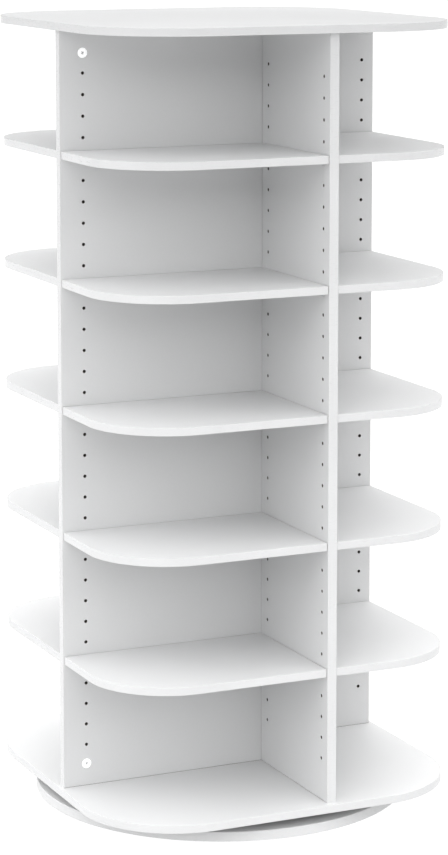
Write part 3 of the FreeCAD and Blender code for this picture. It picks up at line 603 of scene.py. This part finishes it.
# ---------------------- swivel eyelet
# Tubular rivet that holds the two plates together.  It is spun over tight on the
# lower plate and turns free in the upper one, so both lips are rolled, not cut.
EYELET_RADIUS = 20
EYELET_BORE = 18
EYELET_LIP_RADIUS = 28
EYELET_LIP = 1.6
EYELET_ROLL = 2.2
EYELET_PLAY = 0.3
EYELET_STEPS = 96
lip_top = SWIVEL_HEIGHT - TABLE_RISE + EYELET_PLAY
eyelet_section = eased([
    (EYELET_BORE, TABLE_RISE - EYELET_LIP), (EYELET_LIP_RADIUS, TABLE_RISE - EYELET_LIP),
    (EYELET_LIP_RADIUS, TABLE_RISE), (EYELET_RADIUS, TABLE_RISE), (EYELET_RADIUS, lip_top),
    (EYELET_LIP_RADIUS, lip_top), (EYELET_LIP_RADIUS, lip_top + EYELET_LIP),
    (EYELET_BORE, lip_top + EYELET_LIP)], EYELET_ROLL, 6)
eyelet = mesh_of(turned(eyelet_section, EYELET_STEPS, closed=True), zinc_finish)
piece = new_object("swivel_rivet", smoothed(placed(eyelet, *LIFTED), 40))
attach(piece, "base")
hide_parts("swivel_eyelet")


# ------------- bearing balls and cage
# Twenty-four steel balls run in the grooves, lightly greased.  A nylon ring with
# a round window for each ball keeps them apart and creeps round at half speed.
BALL_COUNT = 24
BALL_RADIUS = 4.5
CAGE_INNER, CAGE_OUTER = 91, 109
CAGE_THICKNESS = 3
CAGE_WINDOW = 4.8
CAGE_EASE = 0.6
WINDOW_STEPS = 32
STEEL_BRIGHT = (0.78, 0.79, 0.80)
STEEL_GREASED = (0.60, 0.58, 0.53)
NYLON_PALE = (0.70, 0.67, 0.58)
NYLON_DEEP = (0.60, 0.56, 0.46)


def clouded(name, clouds, stops, sheen, grain, **shader):
    """A finish with colour and gloss that drift in the same clouds, over a fine grain."""
    finish, gloss, place = start_finish(name, **shader)
    drift = noise(place, *clouds)
    colour(gloss, drift, *stops)
    dull(gloss, drift, *sheen)
    *size, depth = grain
    relief(gloss, (noise(place, *size), depth))
    return finish


def ball_steel():
    """Polished steel under a smeared film of grease."""
    return clouded("greased ball steel", (240, 3), ((0.4, STEEL_BRIGHT), (0.72, STEEL_GREASED)),
                   (0.07, 0.28), (700, 2, 0.008), Metallic=1.0)


def cage_nylon():
    """Natural nylon: translucent cream with a fine moulded haze."""
    return clouded("cage nylon", (90, 4), ((0.3, NYLON_DEEP), (0.7, NYLON_PALE)), (0.35, 0.5),
                   (1100, 3, 0.03), Subsurface_Weight=0.25,
                   Subsurface_Radius=(0.002, 0.0016, 0.001))


ball = turned([(0, -BALL_RADIUS), *arc((0, 0), BALL_RADIUS, -75, 75, 10), (0, BALL_RADIUS)],
              SMALL_STEPS)
ball = placed(ball, (RACE_RADIUS, 0, SWIVEL_HEIGHT / 2))
balls = placed(round_the_axis(ball, BALL_COUNT, ball_steel()), *LIFTED)
piece = new_object("steel_balls", smoothed(balls))
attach(piece, "ball_ring")
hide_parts("bearing_balls")

nylon_finish = cage_nylon()
cage_low = (SWIVEL_HEIGHT - CAGE_THICKNESS) / 2
cage_top = cage_low + CAGE_THICKNESS
cage_section = eased([(CAGE_INNER, cage_low), (CAGE_OUTER, cage_low), (CAGE_OUTER, cage_top),
                      (CAGE_INNER, cage_top)], CAGE_EASE, 3)
window = rod(CAGE_WINDOW, cage_low - OVERRUN, cage_top + OVERRUN, WINDOW_STEPS)
windows = round_the_axis(placed(window, (RACE_RADIUS, 0, 0)), BALL_COUNT, nylon_finish)
cage = cut_away(mesh_of(turned(cage_section, PLATE_STEPS, closed=True), nylon_finish), windows)
piece = new_object("nylon_ball_cage", smoothed(placed(cage, *LIFTED), 40))
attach(piece, "ball_ring")
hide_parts("ball_cage")


# ---------------------- swivel screws
# Zinc-plated pan-head chipboard screws, eight through each plate's flange.  Each
# has a cross recess, a washer-flat underside and a coarse thread to its point.
SCREW_LENGTH = 11
SCREW_RADIUS = 2
SCREW_CORE = 1.35
SCREW_POINT = 2.5
SCREW_HEAD_RADIUS = 4
SCREW_HEAD_HEIGHT = 2.4
SCREW_PITCH = 1.8
RECESS_LENGTH, RECESS_WIDTH, RECESS_DEPTH = 4.6, 1.2, 1.4
SCREW_BRIGHT = (0.730, 0.735, 0.740)
SCREW_DULL = (0.500, 0.505, 0.515)


def screw_zinc():
    """Barrel-plated zinc on small steel parts: satin, with rubbed high spots."""
    return clouded("plated small steel", (520, 4), ((0.3, SCREW_DULL), (0.7, SCREW_BRIGHT)),
                   (0.42, 0.24), (1500, 3, 0.02), Metallic=1.0)


def join_rings(shape, rings):
    """Faces from each ring of points to the next."""
    for low, high in zip(rings, rings[1:]):
        strip_between(shape, low, high)


def round_wall(shape, profile, steps):
    """Rings of points at (radius, height) round the axis, with faces between them."""
    rings = [ring_at(shape, on_circle(radius, steps), height) for radius, height in profile]
    join_rings(shape, rings)
    return rings


def threaded(shape, foot, head, crest, core, pitch, point=0.0, steps=12):
    """A rod whose surface winds up and down along a helix, tapering at its foot."""
    per_turn = 4
    blunt_tip = 0.25
    count = round((head - foot) / pitch * per_turn)
    rings = []
    for row in range(count + 1):
        height = foot + (head - foot) * row / count
        taper = min(1.0, blunt_tip + (height - foot) / point) if point else 1.0
        ring = []
        for step, (across, along) in enumerate(on_circle(taper, steps)):
            phase = (height / pitch - step / steps) % 1.0
            radius = core + (crest - core) * max(0.0, 1 - 3 * abs(phase - 0.5))
            ring.append((radius * across, radius * along))
        rings.append(ring_at(shape, ring, height))
    join_rings(shape, rings)
    shape.faces.new(rings[0])
    shape.faces.new(rings[-1])


def quarters(points):
    """Points of the first quarter and their copies in the other three."""
    turns = [Matrix.Rotation(turn * pi / 2, 2) for turn in range(4)]
    return [tuple(turn @ Vector(point)) for turn in turns for point in points]


def cross_points(length, width):
    """Corners of a cross recess, anticlockwise."""
    arm, half = length / 2, width / 2
    return quarters([(arm, -half), (arm, half), (half, half)])


def recessed_face(shape, rim, level, recess, depth, floor_share=0.6, inside=0):
    """A flat face inside a ring, with a tapering recess in it that may differ in finish."""
    mouth = ring_at(shape, recess, level)
    floor = ring_at(shape, [(floor_share * x, floor_share * y) for x, y in recess], level - depth)
    strip_between(shape, mouth, floor, [inside])
    shape.faces.new(floor).material_index = inside
    fill_between(shape, (rim, mouth), 1)


def pan_head_screw():
    """A screw that stands head up, with its head's underside on the sheet."""
    shape = bmesh.new()
    threaded(shape, SHEET - SCREW_LENGTH, SHEET, SCREW_RADIUS, SCREW_CORE, SCREW_PITCH,
             SCREW_POINT)
    edge = SCREW_HEAD_RADIUS
    top = SHEET + SCREW_HEAD_HEIGHT
    rings = round_wall(shape, [
        (edge - 0.15, SHEET), (edge, SHEET + 0.2), (edge, SHEET + 0.9),
        (edge - 0.4, SHEET + 1.7), (edge - 1.1, SHEET + 2.2), (edge - 1.5, top)], SMALL_STEPS)
    shape.faces.new(rings[0])
    recessed_face(shape, rings[-1], top, cross_points(RECESS_LENGTH, RECESS_WIDTH), RECESS_DEPTH)
    return shape


screw_finish = screw_zinc()
for name, circle, body, node, place in (
        ("lower_plate_screws", LOWER_SCREW_CIRCLE, "base", "swivel_lower_screws", LIFTED),
        ("upper_plate_screws", UPPER_SCREW_CIRCLE, "tower", "swivel_upper_screws", HUNG)):
    screw = placed(pan_head_screw(), (circle, 0, 0))
    screws = placed(round_the_axis(screw, SCREW_COUNT, screw_finish), *place)
    piece = new_object(name, smoothed(screws, 40))
    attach(piece, body)
    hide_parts(node)


# --------- bottom board and top board
# Twelve-millimetre melamine-faced boards with widely rounded, banded corners.
# Each is drilled on its inner face for the panels' bolts and dowels, and the bottom
# one also from below, for the swivel's upper screws.
BOARD_WIDTH, BOARD_DEPTH = 587, 598
BOARD_CORNER = 150
BOARD_THICKNESS = 12
BOARD_ARRIS = 0.45
BOTTOM_BOARD_BOTTOM = 34
TOP_BOARD_BOTTOM = 1198
PANEL_MIDDLE = 51.5
BOLT_ROW = -251
BOLT_HOLE_RADIUS = 3
BOLT_HOLE_DEPTH = 9
DOWEL_RADIUS = 4
DOWEL_PLACES = (-192, 12)
DOWEL_HOLE_DEPTH = 9.5


def rounded_rectangle(width, depth, radius, steps):
    """Outline of a board about the axis, anticlockwise."""
    ahead, aside = width / 2 - radius, depth / 2 - radius
    outline = []
    for turn, centre in enumerate(((ahead, aside), (-ahead, aside),
                                   (-ahead, -aside), (ahead, -aside))):
        outline += arc(centre, radius, 90 * turn, 90 * turn + 90, steps)
    return outline


outline = rounded_rectangle(BOARD_WIDTH, BOARD_DEPTH, BOARD_CORNER, 30)
for name, node, level, inner_face in (
        ("bottom_board_banded", "bottom_board", BOTTOM_BOARD_BOTTOM, 1),
        ("top_board_banded", "top_board", TOP_BOARD_BOTTOM, 0)):
    holes = [(inner_face, *point, BOLT_HOLE_RADIUS, BOLT_HOLE_DEPTH)
             for point in quarters([(BOLT_ROW, -PANEL_MIDDLE)])]
    holes += [(inner_face, *point, DOWEL_RADIUS, DOWEL_HOLE_DEPTH)
              for point in quarters([(place, -PANEL_MIDDLE) for place in DOWEL_PLACES])]
    if node == "bottom_board":
        holes += [(0, *point, *SCREW_PILOT)
                  for point in on_circle(UPPER_SCREW_CIRCLE, SCREW_COUNT)]
    end_board = welded(lined_board(outline, [BAND] * len(outline), BOARD_THICKNESS,
                                   BOARD_ARRIS, holes))
    end_board = mesh_of(placed(end_board, (0, 0, level)), *BOARD_FINISHES)
    piece = new_object(name, smoothed(end_board))
    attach(piece, "tower")
    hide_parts(node)


# --------------------- upright panels
# Four fifteen-millimetre panels, each butted on the next one's face round a square
# core.  Rows of pin holes run up both faces; only the outer edge is banded.
PANEL_COUNT = 4
PANEL_HEIGHT = 1152
PANEL_THICKNESS = 15
PANEL_BOTTOM = 46
PANEL_OUTER = -288
PANEL_BUTT = 44
PANEL_ARRIS = 0.5
PIN_HOLE_RADIUS = 2.5
PIN_HOLE_DEPTH = 10
PIN_HOLE_PITCH = 32
PIN_HOLE_COUNT = 33
TOP_PIN_HOLE = 1088
FRONT_ROW, BACK_ROW, INNER_ROW = -251, -268, -80
INNER_ROW_RISE = 7
CAM_HEIGHTS = (34, 1118)
CAM_POCKET_RADIUS = 7.6
CAM_POCKET_DEPTH = 12.5
BOLT_CHANNEL_RADIUS = 3.5
BOLT_CHANNEL_DEPTH = 34
PANEL_DOWEL_DEPTH = 21.5
BUTT_DOWEL_HEIGHTS = (96, 576, 1056)


def holes_down_a_row():
    """Nodes that repeat a hole's lining down a row at an even pitch."""
    tree, given = geometry_tree("holes down a row", "Linings", Lining="Geometry",
                                Count="Int", Pitch="Float", Finish="Material")
    down = arithmetic("MULTIPLY", given["Pitch"], -1.0)
    offset = add_node(tree, "ShaderNodeCombineXYZ", {"Y": down}).outputs["Vector"]
    line = add_node(tree, "GeometryNodeMeshLine", {"Count": given["Count"], "Offset": offset})
    copies = add_node(tree, "GeometryNodeInstanceOnPoints", {
        "Points": line.outputs[0], "Instance": given["Lining"]})
    solid = add_node(tree, "GeometryNodeRealizeInstances", {0: copies.outputs[0]})
    dressed = add_node(tree, "GeometryNodeSetMaterial", {
        "Geometry": solid.outputs[0], "Material": given["Finish"]})
    add_node(tree, "NodeGroupOutput", {"Linings": dressed.outputs[0]})
    return tree


HOLE_ROW = holes_down_a_row()


def show_core(faces):
    """Faces that a drill has cut get the chipboard finish, darkened with painted shade."""
    for face in faces:
        face.material_index = CORE


def drill_hits(places, radius, depth):
    """Drill bits that stand at places of (start point, direction), as one shape."""
    bits = bmesh.new()
    for start, direction in places:
        bit = rod(radius, -OVERRUN, depth, SMALL_STEPS)
        aim = Vector(direction).to_track_quat("Z", "Y").to_matrix().to_4x4()
        bit.transform(Matrix.Translation(start) @ aim)
        taken_in(bits, bit)
    show_core(bits.faces)
    return bits


def drilled_panel():
    """The first panel, lying with its height along the plane and its front face up."""
    outline = [(PANEL_OUTER, 0), (PANEL_BUTT, 0), (PANEL_BUTT, PANEL_HEIGHT),
               (PANEL_OUTER, PANEL_HEIGHT)]
    edges = [CORE, FACE, CORE, BAND]
    cams = [(1, BOLT_ROW, height, CAM_POCKET_RADIUS, CAM_POCKET_DEPTH) for height in CAM_HEIGHTS]
    butts = [(0, -PANEL_MIDDLE, height, DOWEL_RADIUS, DOWEL_HOLE_DEPTH)
             for height in BUTT_DOWEL_HEIGHTS]
    row_tops = [(1, FRONT_ROW, TOP_PIN_HOLE), (0, BACK_ROW, TOP_PIN_HOLE),
                (0, INNER_ROW, TOP_PIN_HOLE + INNER_ROW_RISE)]
    rows = [(face, across, top - PIN_HOLE_PITCH * number, PIN_HOLE_RADIUS, PIN_HOLE_DEPTH)
            for face, across, top in row_tops for number in range(PIN_HOLE_COUNT)]
    shape = lined_board(outline, edges, PANEL_THICKNESS, PANEL_ARRIS, cams + butts, rows)
    for row_top in row_tops:
        lining = hole_lining(*row_top, PIN_HOLE_RADIUS, PIN_HOLE_DEPTH, PANEL_THICKNESS)
        drilled = len(shape.faces)
        shape.from_mesh(grown(as_drawn(lining), HOLE_ROW, Count=PIN_HOLE_COUNT,
                              Pitch=PIN_HOLE_PITCH, Finish=BOARD_FINISHES[CORE]))
        shape.faces.ensure_lookup_table()
        show_core(shape.faces[drilled:])
    middle = PANEL_THICKNESS / 2
    ends = ((0, (0, 1, 0)), (PANEL_HEIGHT, (0, -1, 0)))
    channels = [((BOLT_ROW, end, middle), inwards) for end, inwards in ends]
    dowels = [((PANEL_BUTT, height, middle), (-1, 0, 0)) for height in BUTT_DOWEL_HEIGHTS]
    dowels += [((place, end, middle), inwards) for place in DOWEL_PLACES for end, inwards in ends]
    bits = drill_hits(channels, BOLT_CHANNEL_RADIUS, BOLT_CHANNEL_DEPTH)
    taken_in(bits, drill_hits(dowels, DOWEL_RADIUS, PANEL_DOWEL_DEPTH))
    panel = mesh_of(welded(shape), *BOARD_FINISHES)
    return smoothed(cut_away(panel, mesh_of(bits, *BOARD_FINISHES)))


first_panel = placed(drilled_panel(), (0, -PANEL_BUTT * MM, PANEL_BOTTOM * MM), pi / 2, "X")
for quarter in range(PANEL_COUNT):
    panel = placed(first_panel.copy(), turn=quarter * pi / 2)
    piece = new_object(f"upright_panel_{quarter + 1}_drilled", panel)
    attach(piece, "tower")
    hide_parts(f"upright_panel_{quarter + 1}")


# -------------------------- cam locks
# Round white cam locks, pressed flush into the panels' front faces: a plastic cap on
# a cast zinc body.  The cap glows a little as painted light, and the zinc in its
# recess is kept dark as painted shade.  A turn of the screwdriver in the recess draws
# the bolt's head.
CAM_RADIUS = 7.5
CAM_LENGTH = 12
CAM_SLOT_LENGTH, CAM_SLOT_WIDTH, CAM_SLOT_DEPTH = 5.4, 1.5, 1.6
CAM_SLOT_TURN = radians(28)
CAM_MOUTH = 7.6
CAM_MOUTH_END = 3
CAM_STEPS = 48
PANEL_FRONT = 59
CAM_LIGHT = (0.930, 0.935, 0.940)
CAM_SHADE = (0.910, 0.915, 0.920)
# The caps glow a little: painted light that makes them brighter than the white board beside them.
CAM_PAINTED_GLOW = 0.32
# The cast zinc greys are the body's own and also painted shade for the cap's recess.
SHADED_CAST_PALE = (0.700, 0.705, 0.710)
SHADED_CAST_DEEP = (0.560, 0.565, 0.570)


def cam_plastic_painted_glow():
    """Glossy white moulded plastic with a faint flow pattern, and a painted glow that brightens
    it.
    """
    return clouded("white cam plastic with painted glow", (160, 3), ((0.3, CAM_SHADE), (0.7, CAM_LIGHT)),
                   (0.22, 0.34), (900, 2, 0.02), IOR=1.52, Subsurface_Weight=0.1,
                   Subsurface_Radius=(0.002, 0.002, 0.002), Emission_Color=(1, 1, 1, 1),
                   Emission_Strength=CAM_PAINTED_GLOW)


def cast_zinc_painted_shade():
    """Cast zinc alloy, left dull and slightly pitted, and kept dark in the cap's recess as
    painted shade.
    """
    return clouded("cast zinc alloy with painted recess shade", (700, 4), ((0.3, SHADED_CAST_DEEP), (0.7, SHADED_CAST_PALE)),
                   (0.62, 0.45), (700, 4, 0.06), Metallic=0.3)


CAM_FINISHES = (cam_plastic_painted_glow(), cast_zinc_painted_shade())
CAST_AND_RECESS_SHADE = 1


def cam_lock():
    """A cam lock with its recess up and its bolt channel open towards -Y."""
    shape = bmesh.new()
    rings = round_wall(shape, [
        (CAM_RADIUS - 0.4, 0), (CAM_RADIUS, 0.4), (CAM_RADIUS, CAM_LENGTH - 0.35),
        (CAM_RADIUS - 0.35, CAM_LENGTH)], CAM_STEPS)
    shape.faces.new(rings[0])
    spin = Matrix.Rotation(CAM_SLOT_TURN, 2)
    recess = [tuple(spin @ Vector(point))
              for point in cross_points(CAM_SLOT_LENGTH, CAM_SLOT_WIDTH)]
    # The recess's walls and floor take the darker zinc: the body showing through, and painted
    # shade for the recess.
    recessed_face(shape, rings[-1], CAM_LENGTH, recess, CAM_SLOT_DEPTH, 0.75, CAST_AND_RECESS_SHADE)
    half = CAM_MOUTH / 2
    middle = CAM_LENGTH - PANEL_THICKNESS / 2
    outside = -CAM_RADIUS - OVERRUN
    mouth = [(-half, outside), (half, outside), (half, CAM_MOUTH_END), (-half, CAM_MOUTH_END)]
    channel = bmesh.new()
    ends = [ring_at(channel, mouth, level) for level in (middle - half, middle + half)]
    strip_between(channel, *ends, [CAST_AND_RECESS_SHADE])
    for end in ends:
        channel.faces.new(end)
    return cut_away(mesh_of(shape, *CAM_FINISHES), mesh_of(channel, *CAM_FINISHES))


first_cams = bmesh.new()
for height, turn in zip(CAM_HEIGHTS, (0, pi)):
    place = Vector((BOLT_ROW, CAM_LENGTH - PANEL_FRONT, PANEL_BOTTOM + height)) * MM
    first_cams.from_mesh(placed(placed(cam_lock(), turn=turn), place, pi / 2, "X"))
first_cams.transform(Matrix.Scale(1 / MM, 4))
cams = round_the_axis(first_cams, PANEL_COUNT, *CAM_FINISHES)
piece = new_object("white_cam_locks", smoothed(cams, 40))
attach(piece, "tower")
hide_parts("cam_locks")


# -------------------------- cam bolts
# Plated steel bolts screwed into both end boards.  Behind a mushroom head each
# has a thin neck, which the cam lock's jaws grip.
BOLT_RADIUS = 3
BOLT_CORE = 2.4
BOLT_PITCH = 1.6
BOLT_NECK_RADIUS = 2
BOLT_HEAD_RADIUS = 3.5
BOLT_HEAD_END = 36
BOLT_HEAD_HEIGHT = 3
BOLT_NECK_LENGTH = 4


def cam_bolt():
    """A bolt that stands with its thread below the plane and its head up."""
    shape = bmesh.new()
    threaded(shape, -BOLT_HOLE_DEPTH, 0, BOLT_RADIUS, BOLT_CORE, BOLT_PITCH, 0, 16)
    head_start = BOLT_HEAD_END - BOLT_HEAD_HEIGHT
    neck_start = head_start - BOLT_NECK_LENGTH
    taken_in(shape, turned([
        (0, 0), (BOLT_RADIUS - 0.3, 0), (BOLT_RADIUS, 0.3), (BOLT_RADIUS, neck_start - 1),
        (BOLT_NECK_RADIUS, neck_start), (BOLT_NECK_RADIUS, head_start),
        (BOLT_HEAD_RADIUS, head_start + 0.2), (BOLT_HEAD_RADIUS, head_start + 1.2),
        (BOLT_HEAD_RADIUS - 0.5, BOLT_HEAD_END - 0.6), (BOLT_HEAD_RADIUS - 1.4, BOLT_HEAD_END),
        (0, BOLT_HEAD_END)], SMALL_STEPS))
    return shape


BOARD_SIDES = ((0, PANEL_BOTTOM), (pi, TOP_BOARD_BOTTOM))
bolts = bmesh.new()
for flip, level in BOARD_SIDES:
    taken_in(bolts, placed(cam_bolt(), (BOLT_ROW, -PANEL_MIDDLE, level), flip, "X"))
bolts = round_the_axis(bolts, PANEL_COUNT, screw_finish)
piece = new_object("threaded_cam_bolts", smoothed(bolts, 40))
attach(piece, "tower")
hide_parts("cam_bolts")


# ------------------------ wood dowels
# Fluted beech dowels with chamfered ends, glued in.  Some locate the panels' ends
# in the two boards, and the others join each panel to its neighbour's face.
DOWEL_LENGTH = 30
DOWEL_SHORT_END = 9
DOWEL_CHAMFER = (0.8, 1)
FLUTES = 16
FLUTE_SHARE = 0.94
BEECH_PALE = (0.60, 0.43, 0.27)
BEECH_DEEP = (0.42, 0.27, 0.15)


def beech():
    """Beech along the dowel: straight fibres, short dark flecks, dry and matt."""
    finish, gloss, _ = start_finish("beech")
    along = add_node(finish.node_tree, "ShaderNodeUVMap", uv_map="UVMap").outputs["UV"]
    fibres = noise(stretch(along, (30, 40, 1)), 3, 4, 0.6)
    flecks = noise(stretch(along, (60, 400, 1)), 2, 2)
    colour(gloss, fibres, (0.3, BEECH_DEEP), (0.65, BEECH_PALE))
    dull(gloss, flecks, 0.6, 0.8)
    relief(gloss, (fibres, 0.05), (flecks, 0.03))
    return finish


def fluted_dowel():
    """A dowel that stands with its short end below the plane."""
    low = -DOWEL_SHORT_END
    high = low + DOWEL_LENGTH
    shape = rod(DOWEL_RADIUS, low, high, 2 * FLUTES, DOWEL_CHAMFER, DOWEL_CHAMFER)
    for corner in shape.verts:
        turn = round(atan2(corner.co.y, corner.co.x) / pi * FLUTES)
        if turn % 2 and low < corner.co.z < high:
            corner.co.x *= FLUTE_SHARE
            corner.co.y *= FLUTE_SHARE
    return shape


beech_finish = beech()
board_dowels, butt_dowels = bmesh.new(), bmesh.new()
for row in DOWEL_PLACES:
    for flip, level in BOARD_SIDES:
        taken_in(board_dowels, placed(fluted_dowel(), (row, -PANEL_MIDDLE, level), flip, "X"))
for height in BUTT_DOWEL_HEIGHTS:
    place = (PANEL_BUTT, -PANEL_MIDDLE, PANEL_BOTTOM + height)
    taken_in(butt_dowels, placed(fluted_dowel(), place, -pi / 2, "Y"))
for name, dowels, node in (("dowels_in_boards", board_dowels, "board_dowels"),
                           ("dowels_between_panels", butt_dowels, "panel_dowels")):
    piece = new_object(name, smoothed(round_the_axis(dowels, PANEL_COUNT, beech_finish), 60))
    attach(piece, "tower")
    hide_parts(node)


# ---------------------------- shelves
# Twenty loose shelves, five to a bay, of the same board as the ends.  Each fits
# in the corner of two panels; its outer corner is rounded and its outer edges
# are banded, and the hidden pin's hole is drilled in its inner edge.
SHELF_REACH = 286.3
SHELF_SIDE, SHELF_BACK = 43.7, -59.3
SHELF_CORNER = 124
SHELF_THICKNESS = 12
SHELF_UNDERSIDES = (1007, 815, 623, 431, 239)
SMALL_CORNER = 1.2


def loose_shelf():
    """The first bay's shelf, lying on the plane."""
    near = -SHELF_REACH
    ease = SMALL_CORNER
    outline = arc((near + SHELF_CORNER, near + SHELF_CORNER), SHELF_CORNER, 180, 270, 26)
    outline += arc((SHELF_SIDE - ease, near + ease), ease, -90, 0, 3)
    inner = len(outline) - 1
    outline += [(SHELF_SIDE, SHELF_BACK)]
    outline += arc((near + ease, SHELF_BACK - ease), ease, 90, 180, 3)
    edges = [CORE if i in (inner, inner + 1) else BAND for i in range(len(outline))]
    shelf = mesh_of(board(outline, edges, SHELF_THICKNESS, BOARD_ARRIS, ()), *BOARD_FINISHES)
    bit = drill_hits([((SHELF_SIDE, INNER_ROW, SHELF_THICKNESS / 2), (-1, 0, 0))],
                     PIN_HOLE_RADIUS, PIN_HOLE_DEPTH)
    return smoothed(cut_away(shelf, mesh_of(bit, *BOARD_FINISHES)))


first_shelf = loose_shelf()
for tier, underside in enumerate(SHELF_UNDERSIDES, start=1):
    for quarter in range(PANEL_COUNT):
        shelf = placed(first_shelf.copy(), (0, 0, underside * MM), quarter * pi / 2)
        piece = new_object(f"shelf_{tier}_bay_{quarter + 1}_banded", shelf)
        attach(piece, "tower")
        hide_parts(f"shelf_{tier}_bay_{quarter + 1}")


# ------------------------- shelf pins
# Plated steel pins, eight to a tier: a round shank pushed into the panel, a heel
# flat on its face and a bent tongue that the shelf lies on.  A plain pin in each
# shelf's inner edge hides in the panel that the edge meets.
SHANK_RADIUS = 2.5
SHANK_LENGTH = 9.5
SHANK_CHAMFER = (0.6, 0.6)
TONGUE_LENGTH, TONGUE_WIDTH, TONGUE_THICKNESS = 12, 8, 2
HEEL_HEIGHT, HEEL_THICKNESS = 5, 1.5
SEAT_RISE = 1
PLATE_ARRIS = 0.3
BEND_RADIUS = 0.7
EDGE_PIN_LENGTH = 18
EDGE_PIN_CHAMFER = (0.5, 0.5)
PIN_STEPS = 20


def shelf_pin():
    """A pin with its shank along -X in the panel and its tongue out along +X."""
    foot = SEAT_RISE - HEEL_HEIGHT
    seat = SEAT_RISE - TONGUE_THICKNESS
    section = eased([
        (0, foot), (HEEL_THICKNESS, foot), (HEEL_THICKNESS, seat), (TONGUE_LENGTH, seat),
        (TONGUE_LENGTH, SEAT_RISE), (0, SEAT_RISE)], BEND_RADIUS, 3)
    plate = bmesh.new()
    half = TONGUE_WIDTH / 2
    sides = [ring_at(plate, section, level) for level in (PLATE_ARRIS - half, half - PLATE_ARRIS)]
    caps = [ring_at(plate, drawn_in(section, PLATE_ARRIS), level) for level in (-half, half)]
    join_rings(plate, [caps[0], *sides, caps[1]])
    for cap in caps:
        plate.faces.new(cap)
    shank = rod(SHANK_RADIUS, 0, SHANK_LENGTH, PIN_STEPS, head=SHANK_CHAMFER)
    pin = placed(plate, turn=pi / 2, axis="X")
    taken_in(pin, placed(shank, turn=-pi / 2, axis="Y"))
    return pin


edge_pin_start = PANEL_BUTT + SHANK_LENGTH - EDGE_PIN_LENGTH
for tier, underside in enumerate(SHELF_UNDERSIDES, start=1):
    pins = bmesh.new()
    for place, turn in (((FRONT_ROW, -PANEL_FRONT), -pi / 2), ((PANEL_BUTT, BACK_ROW), pi)):
        taken_in(pins, placed(shelf_pin(), (*place, underside - SEAT_RISE), turn))
    hidden = rod(SHANK_RADIUS, 0, EDGE_PIN_LENGTH, PIN_STEPS, EDGE_PIN_CHAMFER, EDGE_PIN_CHAMFER)
    place = (edge_pin_start, INNER_ROW, underside + SHELF_THICKNESS / 2)
    hidden = placed(hidden, place, pi / 2, "Y")
    for node, shape in ((f"shelf_pins_tier_{tier}", pins), (f"edge_pins_tier_{tier}", hidden)):
        mesh = round_the_axis(shape, PANEL_COUNT, screw_finish)
        piece = new_object(f"{node}_plated", smoothed(mesh, 40))
        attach(piece, "tower")
        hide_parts(node)


# ----------------------------- studio
# A pale floor that glows softly, as a lit sweep does, under one very broad soft
# light.  A screen above keeps the top board from glaring, a white backdrop far away
# hides the horizon, and the camera is a long lens's distance away.
FLOOR_RADIUS = 60000
FLOOR_RINGS = (600, 3000, 12000, FLOOR_RADIUS)
FLOOR_SHADE = 0.06
FLOOR_GLOW = 0.98
SURROUND_GLOW = 0.05
SKY_POWER = 7.4
SKY_SPREAD = 150
SKY_TURN = (2.0, -5.0)
SCREEN_RADIUS = 1100
SCREEN_HEIGHT = 1600
SCREEN_THICKNESS = 10
SCREEN_SHADE = 0.02
SCREEN_GLOW = 1.42
BACKDROP_HEIGHT = 14000
CAMERA_PLACE = (-1.7873, -3.9067, 1.4155)
CAMERA_AZIMUTH = 24.669
CAMERA_PITCH = 6.771
CAMERA_SENSOR = 36
FOCAL_PIXELS, PICTURE_PIXELS = 2797.0, 855
CAMERA_LENS = FOCAL_PIXELS / PICTURE_PIXELS * CAMERA_SENSOR
CAMERA_SHIFT = (-0.0003, -0.25)


def glowing(name, shade, glow, **shader):
    """A grey finish that glows evenly, its shader and the coordinates of the piece."""
    return start_finish(name, Base_Color=(shade, shade, shade, 1), Emission_Color=(1, 1, 1, 1),
                        Emission_Strength=glow, **shader)


def studio_shell(profile, steps, capped, finish):
    """Rings of (radius, height) round the axis as a mesh, with some of them capped."""
    shape = bmesh.new()
    rings = round_wall(shape, profile, steps)
    for number in capped:
        shape.faces.new(rings[number])
    return mesh_of(shape, finish)


floor_finish, floor_gloss, floor_place = glowing("pale floor", FLOOR_SHADE, FLOOR_GLOW,
                                                 Specular_IOR_Level=0.1)
dull(floor_gloss, noise(floor_place, 6, 2), 0.8, 0.9)
floor = new_object("studio_floor", studio_shell([(radius, 0) for radius in FLOOR_RINGS], 96,
                                               [0], floor_finish))

screen_finish, *_ = glowing("grey screen", SCREEN_SHADE, SCREEN_GLOW)
screen = new_object("overhead_screen", studio_shell(
    [(SCREEN_RADIUS, SCREEN_HEIGHT), (SCREEN_RADIUS, SCREEN_HEIGHT + SCREEN_THICKNESS)], 64,
    [0, 1], screen_finish))
screen.visible_camera = False

backdrop_finish, *_ = glowing("white backdrop", 0, 1.0)
backdrop = new_object("studio_backdrop", studio_shell(
    [(FLOOR_RADIUS, 0), (FLOOR_RADIUS, BACKDROP_HEIGHT)], 96, [], backdrop_finish))
backdrop.visible_diffuse = False
backdrop.visible_glossy = False
backdrop.visible_shadow = False

world = bpy.data.worlds.new("surround")
world.use_nodes = True
surround = world.node_tree.nodes["Background"].inputs
surround["Color"].default_value = (1, 1, 1, 1)
surround["Strength"].default_value = SURROUND_GLOW
bpy.context.scene.world = world

sky_data = bpy.data.lights.new("overhead light", "SUN")
sky_data.angle = radians(SKY_SPREAD)
sky_data.energy = SKY_POWER
sky = new_object("overhead light", sky_data)
sky.location = (0, 0, 4)
sky.rotation_euler = (radians(SKY_TURN[0]), radians(SKY_TURN[1]), 0)

camera_data = bpy.data.cameras.new("camera")
camera_data.sensor_width = CAMERA_SENSOR
camera_data.lens = CAMERA_LENS
camera_data.shift_x, camera_data.shift_y = CAMERA_SHIFT
camera = new_object("camera", camera_data)
camera.location = CAMERA_PLACE
camera.rotation_euler = (radians(90 - CAMERA_PITCH), 0, radians(-CAMERA_AZIMUTH))
bpy.context.scene.camera = camera
bpy.context.scene.view_settings.view_transform = "Standard"
